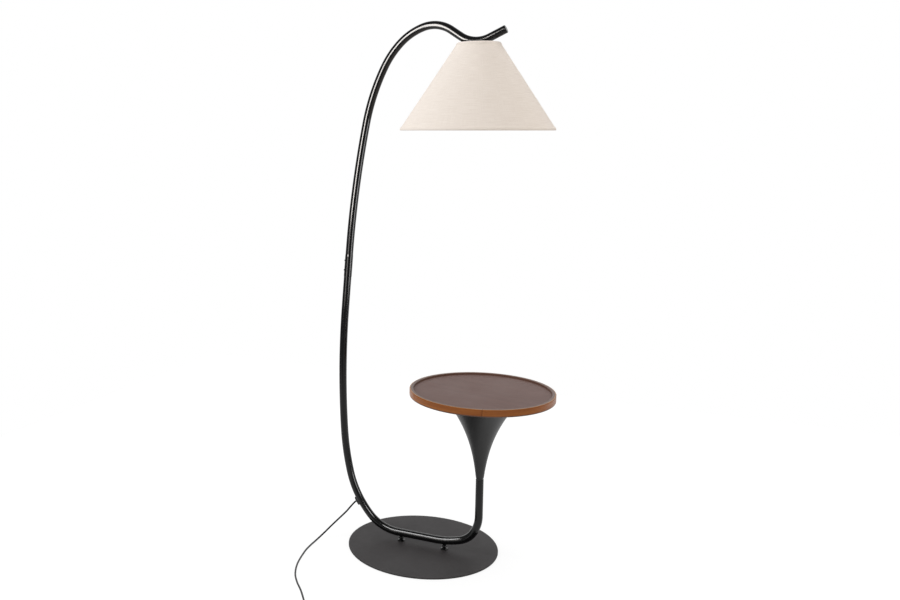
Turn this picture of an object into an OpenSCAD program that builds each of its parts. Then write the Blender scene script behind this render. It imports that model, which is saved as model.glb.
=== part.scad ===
// Arched reading lamp: a bent steel tube on a round foot carries a small round table and a conical shade.
// The tube lies in the X-Z plane. Its path is a chain of tangent bends and straight runs, and everything
// that sits on it takes its place from that chain. +X points from the pole to the table, +Z up.

/* [Foot] */
// Diameter of the steel foot plate
base_d = 426; // [380:1:480]
// Thickness of the foot plate
base_t = 4; // [3:0.5:8]
// Chamfer on the plate's edges
base_chamfer = 0.8; // [0.3:0.1:1.2]
// Thickness of the soft pad under the plate
pad_t = 1; // [1:0.5:3]
// How far the pad stays inside the plate's edge
pad_inset = 4; // [2:1:12]
// Height of the two turned posts between plate and tube
post_h = 12.5; // [9:0.5:18]
// Distance between the two posts
post_spacing = 130; // [100:2:140]
// Diameter of a post's neck
post_neck_d = 10; // [9:0.5:14]
// Diameter of a post's rounded foot
post_foot_d = 22; // [18:0.5:28]
// Thread diameter of the foot screws
foot_screw_d = 6; // [5:1:6]

/* [Tube] */
// Outside diameter of the lamp tube
tube_d = 22; // [20:0.5:24]
// Wall thickness of the tube
tube_wall = 1.5; // [1.2:0.1:2]
// Length of the straight run over the foot
run_l = 113; // [100:1:130]
// Place of the run's front end along X
run_front_x = 38; // [30:1:50]
// Height at which the stem ends under the table's trumpet
stem_top_z = 228; // [200:1:260]

/* [Bends at the front of the foot] */
// Radius of the first, wide bend after the run
toe_r = 236; // [200:2:270]
// Turn of the first bend, in degrees
toe_a = 18; // [14:1:22]
// Radius of the tight bend
knee_r = 69; // [55:1:85]
// Turn of the tight bend
knee_a = 40; // [34:1:46]
// Radius of the bend that ends upright
shin_r = 98; // [70:1:130]

/* [Bends of the pole] */
// Radius of the bend from the run into the pole
heel_r = 121; // [100:1:150]
// Turn of that bend, in degrees
heel_a = 48; // [40:1:56]
// Radius of the next bend, which holds the cord's grommet
calf_r = 277; // [220:1:340]
// Turn of that bend
calf_a = 28; // [24:1:32]
// Radius of the sweep below the middle
low_sweep_r = 750; // [600:10:900]
// Turn of that sweep
low_sweep_a = 10; // [7:1:13]
// Radius of the slow sweep to the middle joint
mid_sweep_r = 2600; // [2000:50:3200]
// Turn of that sweep
mid_sweep_a = 8; // [6:0.5:10]
// Straight length of the lower tube under the joint
joint_low_l = 93; // [66:1:110]

/* [Bends of the arch] */
// Straight length of the upper tube above the joint
joint_high_l = 68; // [68:1:110]
// Radius of the slow sweep above the joint
high_sweep_r = 3080; // [2600:20:3600]
// Turn of that sweep
high_sweep_a = 7; // [5:0.5:9]
// Radius of the sweep into the arch
neck_r = 590; // [500:10:700]
// Turn of that sweep
neck_a = 16; // [13:1:19]
// Radius of the arch's outer shoulder
shoulder_r = 246; // [200:1:300]
// Turn of the shoulder
shoulder_a = 18; // [15:1:21]
// Radius of the arch's inner shoulder
brow_r = 168; // [140:1:200]
// Turn of the inner shoulder
brow_a = 26; // [22:1:30]
// Radius of the crest
crest_r = 91; // [75:1:110]
// Turn of the crest
crest_a = 53; // [48:1:58]
// Straight length between crest and dip
slope_l = 31; // [20:1:45]
// Radius of the dip that carries the shade
dip_r = 81; // [70:1:100]
// Turn of the dip
dip_a = 59; // [52:1:66]
// Turn past the dip's lowest point at which the lamp holder hangs
holder_a = 3.5; // [0:0.5:5]
// Straight length of the free end
tail_l = 45; // [30:1:70]

/* [Middle joint] */
// How far the upper tube is widened above the joint
socket_l = 60; // [55:1:62]
// Diameter of the widened end
socket_d = 23; // [22.6:0.1:24.6]
// Length of the inner sleeve on each side of the joint
sleeve_half_l = 54; // [50:1:60]
// Wall thickness of the inner sleeve
sleeve_wall = 2; // [1.5:0.1:3]
// Diameter of the two joint screws
joint_screw_d = 4; // [3:0.5:5]
// Height of the lower joint screw above the joint
joint_screw_z = 18; // [14:1:22]
// Distance between the two joint screws
joint_screw_gap = 28; // [20:1:32]

/* [Table] */
// Outside diameter of the table
table_d = 396; // [360:1:440]
// Height of the table's upper edge above the floor
table_z = 484; // [460:1:520]
// Height of the bent wood hoop
hoop_h = 20; // [18:1:28]
// Thickness of the hoop
hoop_t = 11; // [8:0.5:14]
// Depth of the table's surface below the hoop's edge
tray_depth = 5; // [2:0.5:6]
// Thickness of the table board
board_t = 14; // [10:1:16]
// Thickness of the coloured sheet on the board
sheet_t = 1; // [0.8:0.1:1.5]
// Direction of the hoop's butt joint around the table, in degrees
seam_a = -74; // [-90:1:-60]
// Width of the butt joint
seam_w = 0.4; // [0.3:0.1:0.8]

/* [Trumpet] */
// Widest diameter of the trumpet, under the table
trumpet_d = 214; // [180:1:250]
// Wall thickness of the trumpet
trumpet_wall = 2.5; // [2:0.1:4]
// Share of the widening that is an even cone
trumpet_cone = 0.31; // [0.2:0.01:0.5]
// Power of the curve that widens the rest
trumpet_power = 2.5; // [2:0.1:3.2]
// Height of the narrow neck ring above the stem
neck_ring_h = 4; // [2:0.5:8]
// Diameter of the threaded rod inside the trumpet
rod_d = 10; // [8:1:10]
// Diameter of the plate under the table
mount_d = 120; // [100:1:140]
// Thickness of the plate under the table
mount_t = 4; // [3:0.5:5]

/* [Shade] */
// Diameter of the shade at its lower edge
shade_bottom_d = 412; // [380:1:460]
// Diameter of the shade at its upper edge
shade_top_d = 110; // [96:1:120]
// Height of the shade
shade_h = 230; // [210:1:250]
// Height of the shade's upper edge above the lowest point of the tube
shade_over_dip = 7; // [0:0.5:9]
// Thickness of the shade's wall, lining and linen
shade_wall = 1.2; // [1:0.1:2]
// Diameter of the wire rings in the shade's hems
wire_d = 3; // [2.5:0.5:4]
// Height of the folded hem
hem_h = 9; // [7:1:12]
// Thickness that the folded hem adds
hem_t = 0.8; // [0.5:0.1:1.2]
// Depth of the shade's fitter ring below the upper edge
fitter_drop = 52; // [44:1:56]
// Number of spokes of the fitter
spokes = 3; // [3:1:4]

/* [Lamp holder] */
// Diameter of the holder's threaded skirt
holder_d = 39; // [38:0.5:40]
// Height of the threaded boss under the tube
boss_h = 8; // [6:0.5:12]
// Height of the holder's domed cap
cap_h = 22; // [18:1:26]
// Height of the holder's skirt
skirt_h = 48; // [44:1:52]
// Diameter of the bulb
bulb_d = 60; // [50:1:66]
// Length of the bulb below the holder
bulb_l = 82; // [70:1:90]

/* [Cord and foot switch] */
// Diameter of the cord
cord_d = 5; // [4.5:0.1:6]
// Turn into the second pole bend at which the grommet sits, in degrees
grommet_a = 10; // [7:0.5:14]
// Length of the oval grommet along the tube
grommet_l = 26; // [22:1:30]
// Width of the oval grommet
grommet_w = 12; // [10:0.5:14]
// Height of the grommet above the tube
grommet_h = 3; // [2:0.5:5]
// Length of the foot switch
switch_l = 76; // [68:1:90]
// Width of the foot switch
switch_w = 42; // [38:1:50]
// Height of the foot switch's housing
switch_h = 20; // [18:1:24]
// Diameter of the foot switch's button
button_d = 26; // [22:1:30]
// How far the button stands above its housing
button_h = 5; // [4:0.5:7]
// Travel of the button
button_travel = 3; // [2:0.5:3.5]

/* [Hidden] */

// Facets of round sections and of long sweeps
$fn = 72;
sweep_steps = 14;

// Path joints: gap between neighbouring steps, and the collar over it
link_gap = 0.5;
link_l = 2;
link_lap = 0.1;

// Running gaps
gap = 0.3;
press = 0.05;

// Threaded pipe between the tube's boss and the holder, as its outer and inner radius
nipple_r = 5;
nipple_bore_r = 3.5;

tube_r = tube_d / 2;
bore_r = tube_r - tube_wall;
plate_top_z = pad_t + base_t;
axis_z = plate_top_z + post_h + tube_r;
shin_a = 90 - toe_a - knee_a;

// ---- The tube's path: a state is [x, z, heading in degrees]; a step is a straight run or a bend ----
function run(length) = [length, 0];
function bend(radius, turn) = [radius, turn];
function is_run(step) = step[1] == 0;
function moved(s, step) =
    is_run(step)
    ? [s[0] + step[0] * cos(s[2]), s[1] + step[0] * sin(s[2]), s[2]]
    : let (side = sign(step[1]), after = s[2] + step[1])
      [s[0] + side * step[0] * (sin(after) - sin(s[2])),
       s[1] - side * step[0] * (cos(after) - cos(s[2])), after];
function states(s, steps, i = 0) =
    i == len(steps) ? [s] : concat([s], states(moved(s, steps[i]), steps, i + 1));
function last(list) = list[len(list) - 1];
function reversed(steps) = [for (i = [len(steps) - 1:-1:0]) [steps[i][0], -steps[i][1]]];

front_start = [run_front_x, axis_z, 0];
front_bends = [bend(toe_r, toe_a), bend(knee_r, knee_a), bend(shin_r, shin_a)];
stem_foot = last(states(front_start, front_bends));
stem_x = stem_foot[0];
stem_l = stem_top_z - stem_foot[1];
foot_bends = concat(reversed(front_bends), [run(run_l)]);

rear_start = [run_front_x - run_l, axis_z, 180];
rear_bends = [
    bend(heel_r, -heel_a), bend(calf_r, -calf_a), bend(low_sweep_r, -low_sweep_a),
    bend(mid_sweep_r, -mid_sweep_a), run(joint_low_l)
];
rear_states = states(rear_start, rear_bends);
joint = last(rear_states);

arch_bends = [
    run(joint_high_l), bend(high_sweep_r, -high_sweep_a), bend(neck_r, -neck_a),
    bend(shoulder_r, -shoulder_a), bend(brow_r, -brow_a), bend(crest_r, -crest_a), run(slope_l),
    bend(dip_r, dip_a), run(tail_l)
];
arch_states = states(joint, arch_bends);
tube_end = last(arch_states);

// The place in the dip that the holder hangs from, just past the lowest point
dip_start = arch_states[7];
to_dip = bend(dip_r, holder_a - dip_start[2]);
dip = moved(dip_start, to_dip);
holder_x = dip[0];
dip_under_z = dip[1] - tube_r;

// The grommet's place in the second pole bend
grommet_state = moved(rear_states[1], bend(calf_r, -grommet_a));
grommet_out = [-sin(grommet_state[2]), 0, cos(grommet_state[2])];
grommet_axis = [grommet_state[0], 0, grommet_state[1]];
cord_exit = grommet_axis + (tube_r + grommet_h) * grommet_out;

module ring_profile(outer_r, inner_r) {
    difference() {
        circle(r = outer_r);
        if (inner_r > 0) circle(r = inner_r);
    }
}

// Puts its children at a path state, with Z along the path
module at_state(s) {
    translate([s[0], 0, s[1]]) rotate([0, 90 - s[2], 0]) children();
}

// One step of a path, left short by the given amounts at its start and at its end
module path_piece(s, step, short_start, short_end, outer_r, inner_r) {
    if (is_run(step)) {
        at_state(moved(s, run(short_start)))
            linear_extrude(height = step[0] - short_start - short_end)
                ring_profile(outer_r, inner_r);
    } else {
        side = sign(step[1]);
        centre = [s[0] - side * step[0] * sin(s[2]), 0, s[1] + side * step[0] * cos(s[2])];
        degrees_per_mm = 180 / (PI * step[0]);
        turn = abs(step[1]) - (short_start + short_end) * degrees_per_mm;
        first = side > 0
            ? s[2] - 90 + short_start * degrees_per_mm
            : s[2] + 90 - short_start * degrees_per_mm - turn;
        translate(centre)
            rotate([90, 0, 0])
                rotate([0, 0, first])
                    rotate_extrude(angle = turn, $fn = ceil(360 * sweep_steps / turn))
                        translate([step[0], 0])
                            ring_profile(outer_r, inner_r, $fn = 48);
    }
}

// Neighbouring steps stop just short of each other, and a hair-thin collar joins them into one solid
module path(start, steps, outer_r, inner_r = 0) {
    places = states(start, steps);
    end = len(steps) - 1;
    for (i = [0:end])
        path_piece(places[i], steps[i], i > 0 ? link_gap : 0, i < end ? link_gap : 0, outer_r, inner_r);
    for (i = [1:1:end])
        at_state(moved(places[i], run(-link_l / 2)))
            linear_extrude(height = link_l)
                ring_profile(outer_r + link_lap, inner_r - link_lap);
}

// The tube over the foot as a solid bar, which shapes the seats of the posts and the nuts
module foot_bar() {
    path([stem_x, stem_foot[1], 270], foot_bends, tube_r);
}

// ---- Foot ----
post_places = [-post_spacing / 2, post_spacing / 2];
pad_r = base_d / 2 - pad_inset;
screw_hole_r = foot_screw_d / 2 + 0.2;
screw_head_r = foot_screw_d;
nut_r = foot_screw_d / 2 + 1.5;

module floor_pad() {
    color("#202020")
        difference() {
            cylinder(h = pad_t, r = pad_r);
            for (x = post_places)
                translate([x, 0, -1]) cylinder(h = pad_t + 2, r = screw_head_r + 2);
        }
}

module base_plate() {
    color("#484647")
        difference() {
            translate([0, 0, pad_t])
                rotate_extrude($fn = 180)
                    polygon([
                        [0, 0], [base_d / 2 - base_chamfer, 0], [base_d / 2, base_chamfer],
                        [base_d / 2, base_t - base_chamfer], [base_d / 2 - base_chamfer, base_t],
                        [0, base_t]
                    ]);
            for (x = post_places) translate([x, 0, 0]) countersink();
        }
}

// The room of a countersunk foot screw: its cone seat and the clearance hole above it
module countersink() {
    translate([0, 0, pad_t - 1]) cylinder(h = base_t + 2, r = screw_hole_r);
    translate([0, 0, pad_t]) screw_cone();
    translate([0, 0, pad_t - 1]) cylinder(h = 1, r = screw_head_r);
}

module screw_cone() {
    cylinder(h = foot_screw_d / 2, r1 = screw_head_r, r2 = foot_screw_d / 2);
}

module foot_post(x) {
    foot_r = post_foot_d / 2;
    neck_r = post_neck_d / 2;
    disc_h = 1.5;
    flare_h = 3;
    ball_z = 8.5;
    color("#0c0c0d")
        difference() {
            translate([x, 0, plate_top_z])
                union() {
                    // a disc, a flare to the slim waist, a ball and the neck under the tube
                    cylinder(h = disc_h, r = foot_r);
                    translate([0, 0, disc_h]) cylinder(h = flare_h, r1 = foot_r, r2 = neck_r);
                    translate([0, 0, ball_z]) sphere(r = neck_r + 1.6);
                    cylinder(h = post_h + tube_r / 2, r = neck_r);
                }
            translate([x, 0, plate_top_z - 1]) cylinder(h = post_h + tube_d, r = screw_hole_r);
            foot_bar();
        }
}

nut_top_z = axis_z - bore_r + 7;

module foot_screw(x) {
    color("#8b8d90")
        translate([x, 0, pad_t])
            difference() {
                union() {
                    screw_cone();
                    cylinder(h = nut_top_z - pad_t, r = foot_screw_d / 2);
                }
                translate([0, 0, -1]) cylinder(h = 3, r = foot_screw_d / 3, $fn = 6);
            }
}

module foot_nut(x) {
    color("#b9bbbd")
        difference() {
            intersection() {
                translate([x, 0, axis_z - tube_r - 1]) cylinder(h = nut_top_z - axis_z + tube_r + 1, r = nut_r);
                foot_bar();
            }
            translate([x, 0, axis_z - tube_r - 2]) cylinder(h = tube_d, r = foot_screw_d / 2);
        }
}

// ---- Lower tube ----
// Puts its children on the outer side of a bend: Z points away from the bend's centre, X along the path
module out_of(s) {
    translate([s[0], 0, s[1]]) rotate([0, -s[2], 0]) children();
}

module oval(length, width) {
    end_x = (length - width) / 2;
    for (x = [-end_x, end_x]) translate([x, 0]) circle(r = width / 2);
    square([2 * end_x, width], center = true);
}

grommet_step = 2;

module grommet_neck() {
    out_of(grommet_state)
        linear_extrude(height = tube_d)
            oval(grommet_l - 2 * grommet_step, grommet_w - 2 * grommet_step);
}

module lower_tube() {
    color("#0d0d0e")
        difference() {
            path([stem_x, stem_top_z, 270], concat([run(stem_l)], foot_bends, rear_bends), tube_r, bore_r);
            for (x = post_places)
                translate([x, 0, axis_z - tube_r - 1]) cylinder(h = tube_r, r = nut_r);
            grommet_neck();
        }
}

module cord_grommet() {
    color("#151515")
        difference() {
            union() {
                difference() {
                    out_of(grommet_state)
                        translate([0, 0, tube_r / 2])
                            linear_extrude(height = tube_r / 2 + grommet_h)
                                oval(grommet_l, grommet_w);
                    path(rear_states[1], [bend(calf_r, -calf_a)], tube_r);
                }
                intersection() {
                    grommet_neck();
                    path(rear_states[1], [bend(calf_r, -calf_a)], tube_r, bore_r - 1);
                }
            }
            out_of(grommet_state) cylinder(h = tube_d * 2, r = cord_d / 2);
        }
}

// ---- Middle joint and upper tube ----
socket_r = socket_d / 2;
socket_cone_l = 6;
sleeve_r = bore_r - press;
joint_screw_places = [joint_screw_z, joint_screw_z + joint_screw_gap];

module joint_screw_hole(distance, radius) {
    out_of(moved(joint, run(distance))) cylinder(h = tube_d, r = radius);
}

module upper_tube() {
    color("#0d0d0e")
        difference() {
            union() {
                path(joint, arch_bends, tube_r, bore_r);
                at_state(joint)
                    difference() {
                        union() {
                            cylinder(h = socket_l, r = socket_r);
                            translate([0, 0, socket_l])
                                cylinder(h = socket_cone_l, r1 = socket_r, r2 = tube_r);
                        }
                        translate([0, 0, -1]) cylinder(h = socket_l + socket_cone_l + 2, r = tube_r - 0.5);
                    }
            }
            for (z = joint_screw_places) joint_screw_hole(z, joint_screw_d / 2);
            translate([holder_x, 0, dip_under_z - 1]) cylinder(h = tube_r, r = nipple_r);
        }
}

module joint_sleeve() {
    color("#8d8f92")
        difference() {
            at_state(moved(joint, run(-sleeve_half_l)))
                linear_extrude(height = 2 * sleeve_half_l)
                    ring_profile(sleeve_r, sleeve_r - sleeve_wall);
            for (z = joint_screw_places) joint_screw_hole(z, joint_screw_d / 2);
        }
}

module joint_screw(distance) {
    head_r = joint_screw_d * 0.8;
    head_h = 1.4;
    color("#1a1a1b")
        difference() {
            union() {
                out_of(moved(joint, run(distance)))
                    translate([0, 0, sleeve_r - sleeve_wall])
                        cylinder(h = socket_r + head_h / 2 - sleeve_r + sleeve_wall, r = joint_screw_d / 2);
                difference() {
                    out_of(moved(joint, run(distance)))
                        translate([0, 0, socket_r - 1])
                            cylinder(h = head_h + 1, r1 = head_r + 0.4, r2 = head_r - 0.6);
                    at_state(joint) cylinder(h = socket_l, r = socket_r);
                }
            }
            out_of(moved(joint, run(distance)))
                for (turn = [0, 90])
                    rotate([0, 0, turn])
                        translate([-head_r * 0.6, -0.4, socket_r + head_h - 0.7])
                            cube([head_r * 1.2, 0.8, 1]);
        }
}

module tube_end_cap() {
    rim_h = 1.6;
    plug_l = 12;
    color("#0c0c0d")
        at_state(tube_end)
            union() {
                cylinder(h = rim_h, r = tube_r);
                translate([0, 0, rim_h]) cylinder(h = rim_h, r1 = tube_r, r2 = tube_r - rim_h);
                translate([0, 0, -plug_l]) cylinder(h = plug_l, r = bore_r - press);
            }
}

lead_r = cord_d / 2;
lead_knuckle_r = lead_r + 0.3;
lead_end_z = dip_under_z - boss_h - 6;

module inner_lead() {
    lead_steps = concat(
        [bend(calf_r, grommet_a - calf_a)], [for (i = [2:4]) rear_bends[i]],
        [for (i = [0:6]) arch_bends[i]], [to_dip]
    );
    color("#303030")
        union() {
            out_of(grommet_state) cylinder(h = tube_r + grommet_h, r = lead_r);
            translate(grommet_axis) sphere(r = lead_knuckle_r);
            path(grommet_state, lead_steps, lead_r);
            translate([holder_x, 0, dip[1]]) sphere(r = lead_knuckle_r);
            translate([holder_x, 0, lead_end_z]) cylinder(h = dip[1] - lead_end_z, r = lead_r);
        }
}

// ---- Table and its trumpet ----
table_r = table_d / 2;
tray_r = table_r - hoop_t;
sheet_z = table_z - tray_depth - sheet_t;
board_z = sheet_z - board_t;
trumpet_z = stem_top_z + neck_ring_h;
trumpet_h = board_z - trumpet_z;
trumpet_steps = 24;
neck_ring_r = tube_r - 1;
rod_r = rod_d / 2;
rod_seat = 22;
boss_r = 11;
mount_boss_h = 16;
table_screw_r = 2;
table_screw_pcr = mount_d * 0.38;
table_screw_bite = 10;

function trumpet_r(t) =
    tube_r + (trumpet_d / 2 - tube_r) * (trumpet_cone * t + (1 - trumpet_cone) * pow(t, trumpet_power));
function trumpet_slope(t) =
    (trumpet_d / 2 - tube_r) / trumpet_h
    * (trumpet_cone + (1 - trumpet_cone) * trumpet_power * pow(t, trumpet_power - 1));
function trumpet_inner_r(t) = trumpet_r(t) - trumpet_wall * sqrt(1 + pow(trumpet_slope(t), 2));

module at_stem(z) {
    translate([stem_x, 0, z]) children();
}

module stem_plug() {
    plug_l = 45;
    color("#1b1b1c")
        at_stem(0)
            difference() {
                union() {
                    translate([0, 0, stem_top_z - plug_l]) cylinder(h = plug_l, r = bore_r - press);
                    translate([0, 0, stem_top_z]) cylinder(h = neck_ring_h, r = neck_ring_r);
                }
                translate([0, 0, trumpet_z - rod_seat]) cylinder(h = rod_seat + 1, r = rod_r);
            }
}

module trumpet() {
    outer = [for (i = [0:trumpet_steps]) [trumpet_r(i / trumpet_steps), trumpet_h * i / trumpet_steps]];
    inner = [
        for (i = [trumpet_steps:-1:1])
            [trumpet_inner_r(i / trumpet_steps), trumpet_h * i / trumpet_steps]
    ];
    color("#2b2b2c")
        at_stem(trumpet_z)
            difference() {
                rotate_extrude($fn = 120)
                    polygon(concat(
                        [[0, 0]], outer, inner, [[0, trumpet_h / trumpet_steps]]
                    ));
                translate([0, 0, -1]) cylinder(h = trumpet_h, r = rod_r);
            }
}

module trumpet_rod() {
    color("#9a9c9f")
        at_stem(trumpet_z - rod_seat)
            cylinder(h = rod_seat + trumpet_h - mount_t / 2, r = rod_r);
}

module table_screw_axes() {
    for (turn = [0, 120, 240]) rotate([0, 0, turn]) translate([table_screw_pcr, 0, 0]) children();
}

module table_mount() {
    color("#6f7174")
        at_stem(board_z - mount_t)
            difference() {
                union() {
                    cylinder(h = mount_t, r = mount_d / 2);
                    translate([0, 0, -mount_boss_h]) cylinder(h = mount_boss_h, r = boss_r);
                }
                translate([0, 0, -mount_boss_h - 1]) cylinder(h = mount_boss_h + 1 + mount_t / 2, r = rod_r);
                table_screw_axes() translate([0, 0, -1]) cylinder(h = mount_t + 2, r = table_screw_r);
            }
}

module table_screw(turn) {
    head_r = 4;
    head_h = 2.4;
    color("#8b8d90")
        at_stem(board_z - mount_t)
            rotate([0, 0, turn])
                translate([table_screw_pcr, 0, 0])
                    union() {
                        cylinder(h = mount_t + table_screw_bite, r = table_screw_r);
                        translate([0, 0, -head_h]) cylinder(h = head_h, r1 = head_r - 1, r2 = head_r);
                    }
}

module table_board() {
    color("#5a4234")
        at_stem(board_z)
            difference() {
                cylinder(h = board_t, r = tray_r, $fn = 180);
                table_screw_axes() translate([0, 0, -1]) cylinder(h = table_screw_bite + 1, r = table_screw_r);
            }
}

module table_sheet() {
    color("#735f5c") at_stem(sheet_z) cylinder(h = sheet_t, r = tray_r, $fn = 180);
}

module table_hoop() {
    edge = 2;
    color("#965a28")
        at_stem(table_z - hoop_h)
            difference() {
                rotate_extrude($fn = 180)
                    polygon([
                        [tray_r, 0], [table_r - edge, 0], [table_r, edge], [table_r, hoop_h - edge],
                        [table_r - edge, hoop_h], [tray_r + edge, hoop_h], [tray_r, hoop_h - edge]
                    ]);
                rotate([0, 0, seam_a])
                    translate([tray_r - 1, -seam_w / 2, -1]) cube([hoop_t + 2, seam_w, hoop_h + 2]);
            }
}

// ---- Shade ----
shade_top_z = dip_under_z + shade_over_dip;
shade_bottom_z = shade_top_z - shade_h;
shade_tilt = (shade_bottom_d - shade_top_d) / 2 / shade_h;
shade_lean = atan(shade_tilt);
fitter_z = shade_top_z - fitter_drop;
fitter_t = 2.5;
fitter_r = holder_d / 2 + 7;
fitter_bore_r = holder_d / 2 + 0.6;
wire_r = wire_d / 2;
spider_z = shade_h - hem_h / 2;

function shade_r(z) = shade_bottom_d / 2 - shade_tilt * z;
function wire_ring_r(z) = shade_r(z) - shade_wall - wire_r / cos(shade_lean);

module at_holder(z) {
    translate([holder_x, 0, z]) children();
}

module shade_band(low, high, inner_shift, outer_shift) {
    at_holder(shade_bottom_z)
        rotate_extrude($fn = 144)
            polygon([
                [shade_r(low) + inner_shift, low], [shade_r(low) + outer_shift, low],
                [shade_r(high) + outer_shift, high], [shade_r(high) + inner_shift, high]
            ]);
}

module shade_cone() {
    color("#e6ded2") shade_band(0, shade_h, -shade_wall, 0);
}

module shade_top_hem() {
    color("#dcd2c4") shade_band(shade_h - hem_h, shade_h, 0, hem_t);
}

module shade_bottom_hem() {
    color("#dcd2c4") shade_band(0, hem_h, 0, hem_t);
}

module wire_ring(z) {
    at_holder(shade_bottom_z + z)
        rotate_extrude($fn = 144)
            translate([wire_ring_r(z), 0]) circle(r = wire_r, $fn = 24);
}

module shade_bottom_wire() {
    color("#c9c9c6") wire_ring(hem_h / 2);
}

module shade_top_wire() {
    color("#c9c9c6") wire_ring(spider_z);
}

// Spokes run from the fitter ring up to the top wire, which they are welded to
module shade_spider() {
    spoke_start_r = fitter_r - 2;
    spoke_rise = shade_bottom_z + spider_z - fitter_z - fitter_t / 2;
    spoke_reach = wire_ring_r(spider_z) - spoke_start_r;
    color("#c9c9c6")
        difference() {
            union() {
                at_holder(fitter_z)
                    linear_extrude(height = fitter_t) ring_profile(fitter_r, fitter_bore_r);
                for (i = [0:spokes - 1])
                    at_holder(fitter_z + fitter_t / 2)
                        rotate([0, 0, 90 + 360 / spokes * i])
                            translate([spoke_start_r, 0, 0])
                                rotate([0, atan2(spoke_reach, spoke_rise), 0])
                                    cylinder(h = norm([spoke_reach, spoke_rise]), r = wire_r * 0.75, $fn = 24);
            }
            wire_ring(spider_z);
        }
}

// ---- Lamp holder and bulb ----
holder_r = holder_d / 2;
holder_wall = 2.8;
cap_z = dip_under_z - boss_h - cap_h;
core_r = holder_r - holder_wall;
core_h = 34;
core_z = cap_z - 6 - core_h;
socket_bore_r = 13.8;
socket_depth = 26;
bulb_cap_r = 13.3;
bulb_cap_h = 24;
bulb_contact_h = 1.6;
bulb_neck_r = bulb_cap_r + 0.5;
bulb_wall = 1.2;
holder_boss_r = 8;

module holder_boss() {
    color("#0c0c0d")
        difference() {
            at_holder(dip_under_z - boss_h) cylinder(h = boss_h + tube_r / 2, r = holder_boss_r);
            path(dip_start, [bend(dip_r, dip_a)], tube_r);
            at_holder(dip_under_z - boss_h - 1) cylinder(h = tube_d, r = nipple_r);
        }
}

module holder_nipple() {
    color("#b08d4a")
        at_holder(dip_under_z - boss_h - 6)
            linear_extrude(height = boss_h + 6 + tube_wall + 2.5)
                ring_profile(nipple_r, nipple_bore_r);
}

module holder_cap() {
    cap_wall = 2;
    crown_r = 9;
    color("#141414")
        at_holder(cap_z)
            rotate_extrude()
                polygon([
                    [holder_r, 0], [holder_r, cap_h * 0.45], [holder_r - 3, cap_h * 0.78],
                    [crown_r + 2, cap_h - 1], [crown_r, cap_h], [nipple_r, cap_h],
                    [nipple_r, cap_h - cap_wall - 1], [crown_r, cap_h - cap_wall - 1],
                    [holder_r - 3 - cap_wall, cap_h * 0.7], [holder_r - cap_wall, cap_h * 0.4],
                    [holder_r - cap_wall, 0]
                ]);
}

module holder_skirt() {
    shoulder_z = fitter_z + fitter_t + gap - cap_z + skirt_h;
    shoulder_t = 3;
    color("#171717")
        at_holder(cap_z - skirt_h)
            rotate_extrude()
                polygon([
                    [core_r, 0], [holder_r - 1, 0], [holder_r, 1], [holder_r, shoulder_z],
                    [holder_r + 3, shoulder_z], [holder_r + 3, shoulder_z + shoulder_t],
                    [holder_r, shoulder_z + shoulder_t], [holder_r, skirt_h], [core_r, skirt_h]
                ]);
}

module holder_core() {
    color("#e9e6df")
        at_holder(core_z)
            difference() {
                cylinder(h = core_h, r = core_r);
                translate([0, 0, -1]) cylinder(h = socket_depth + 1, r = socket_bore_r);
            }
}

module holder_ring() {
    ring_h = 8;
    color("#171717")
        at_holder(fitter_z - gap - ring_h)
            rotate_extrude()
                polygon([
                    [holder_r, 0], [holder_r + 4, 0], [holder_r + 6, 1.5], [holder_r + 8, ring_h - 2],
                    [holder_r + 8, ring_h], [holder_r, ring_h]
                ]);
}

bulb_top_z = core_z + socket_depth - bulb_contact_h - gap;

module bulb_cap() {
    color("#b9bbbd")
        at_holder(bulb_top_z - bulb_cap_h)
            difference() {
                cylinder(h = bulb_cap_h, r = bulb_cap_r);
                translate([0, 0, -bulb_wall]) cylinder(h = bulb_cap_h, r = bulb_cap_r - bulb_wall);
            }
}

module bulb_contact() {
    color("#8d8f92")
        at_holder(bulb_top_z) cylinder(h = bulb_contact_h, r1 = 6, r2 = 4.5);
}

// A round end and a neck joined by a hollow arc that touches both, made smaller all over by shrink
module bulb_outline(shrink) {
    ball_r = bulb_d / 2;
    neck_arc_r = 28;
    arc_x = bulb_neck_r + neck_arc_r;
    arc_z = sqrt(pow(ball_r + neck_arc_r, 2) - pow(arc_x, 2));
    touch_x = arc_x * (ball_r - shrink) / (ball_r + neck_arc_r);
    intersection() {
        circle(r = ball_r - shrink);
        translate([0, -ball_r]) square(2 * ball_r);
    }
    difference() {
        square([touch_x, arc_z]);
        translate([arc_x, arc_z]) circle(r = neck_arc_r + shrink);
    }
    square([bulb_neck_r - shrink, bulb_l - ball_r + shrink]);
}

module bulb_globe() {
    color("#f4efe2")
        at_holder(bulb_top_z - bulb_cap_h - bulb_l + bulb_d / 2)
            rotate_extrude($fn = 96)
                difference() {
                    bulb_outline(0);
                    bulb_outline(bulb_wall);
                }
}

// ---- Cord: a tube through chosen points, a coil and a plug ----
cord_r = cord_d / 2;
cord_sides = 8;
cord_rings = 3;
floor_z = cord_r;
switch_place = [-112, -551];
switch_turn = -65;
switch_cord_z = 9;
coil_place = [-34, -634];
coil_r = 30;
coil_z = 1;
coil_row_z = cord_r * sqrt(3);
plug_y = -674;
plug_z = 7;
plug_x = 46;

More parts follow.
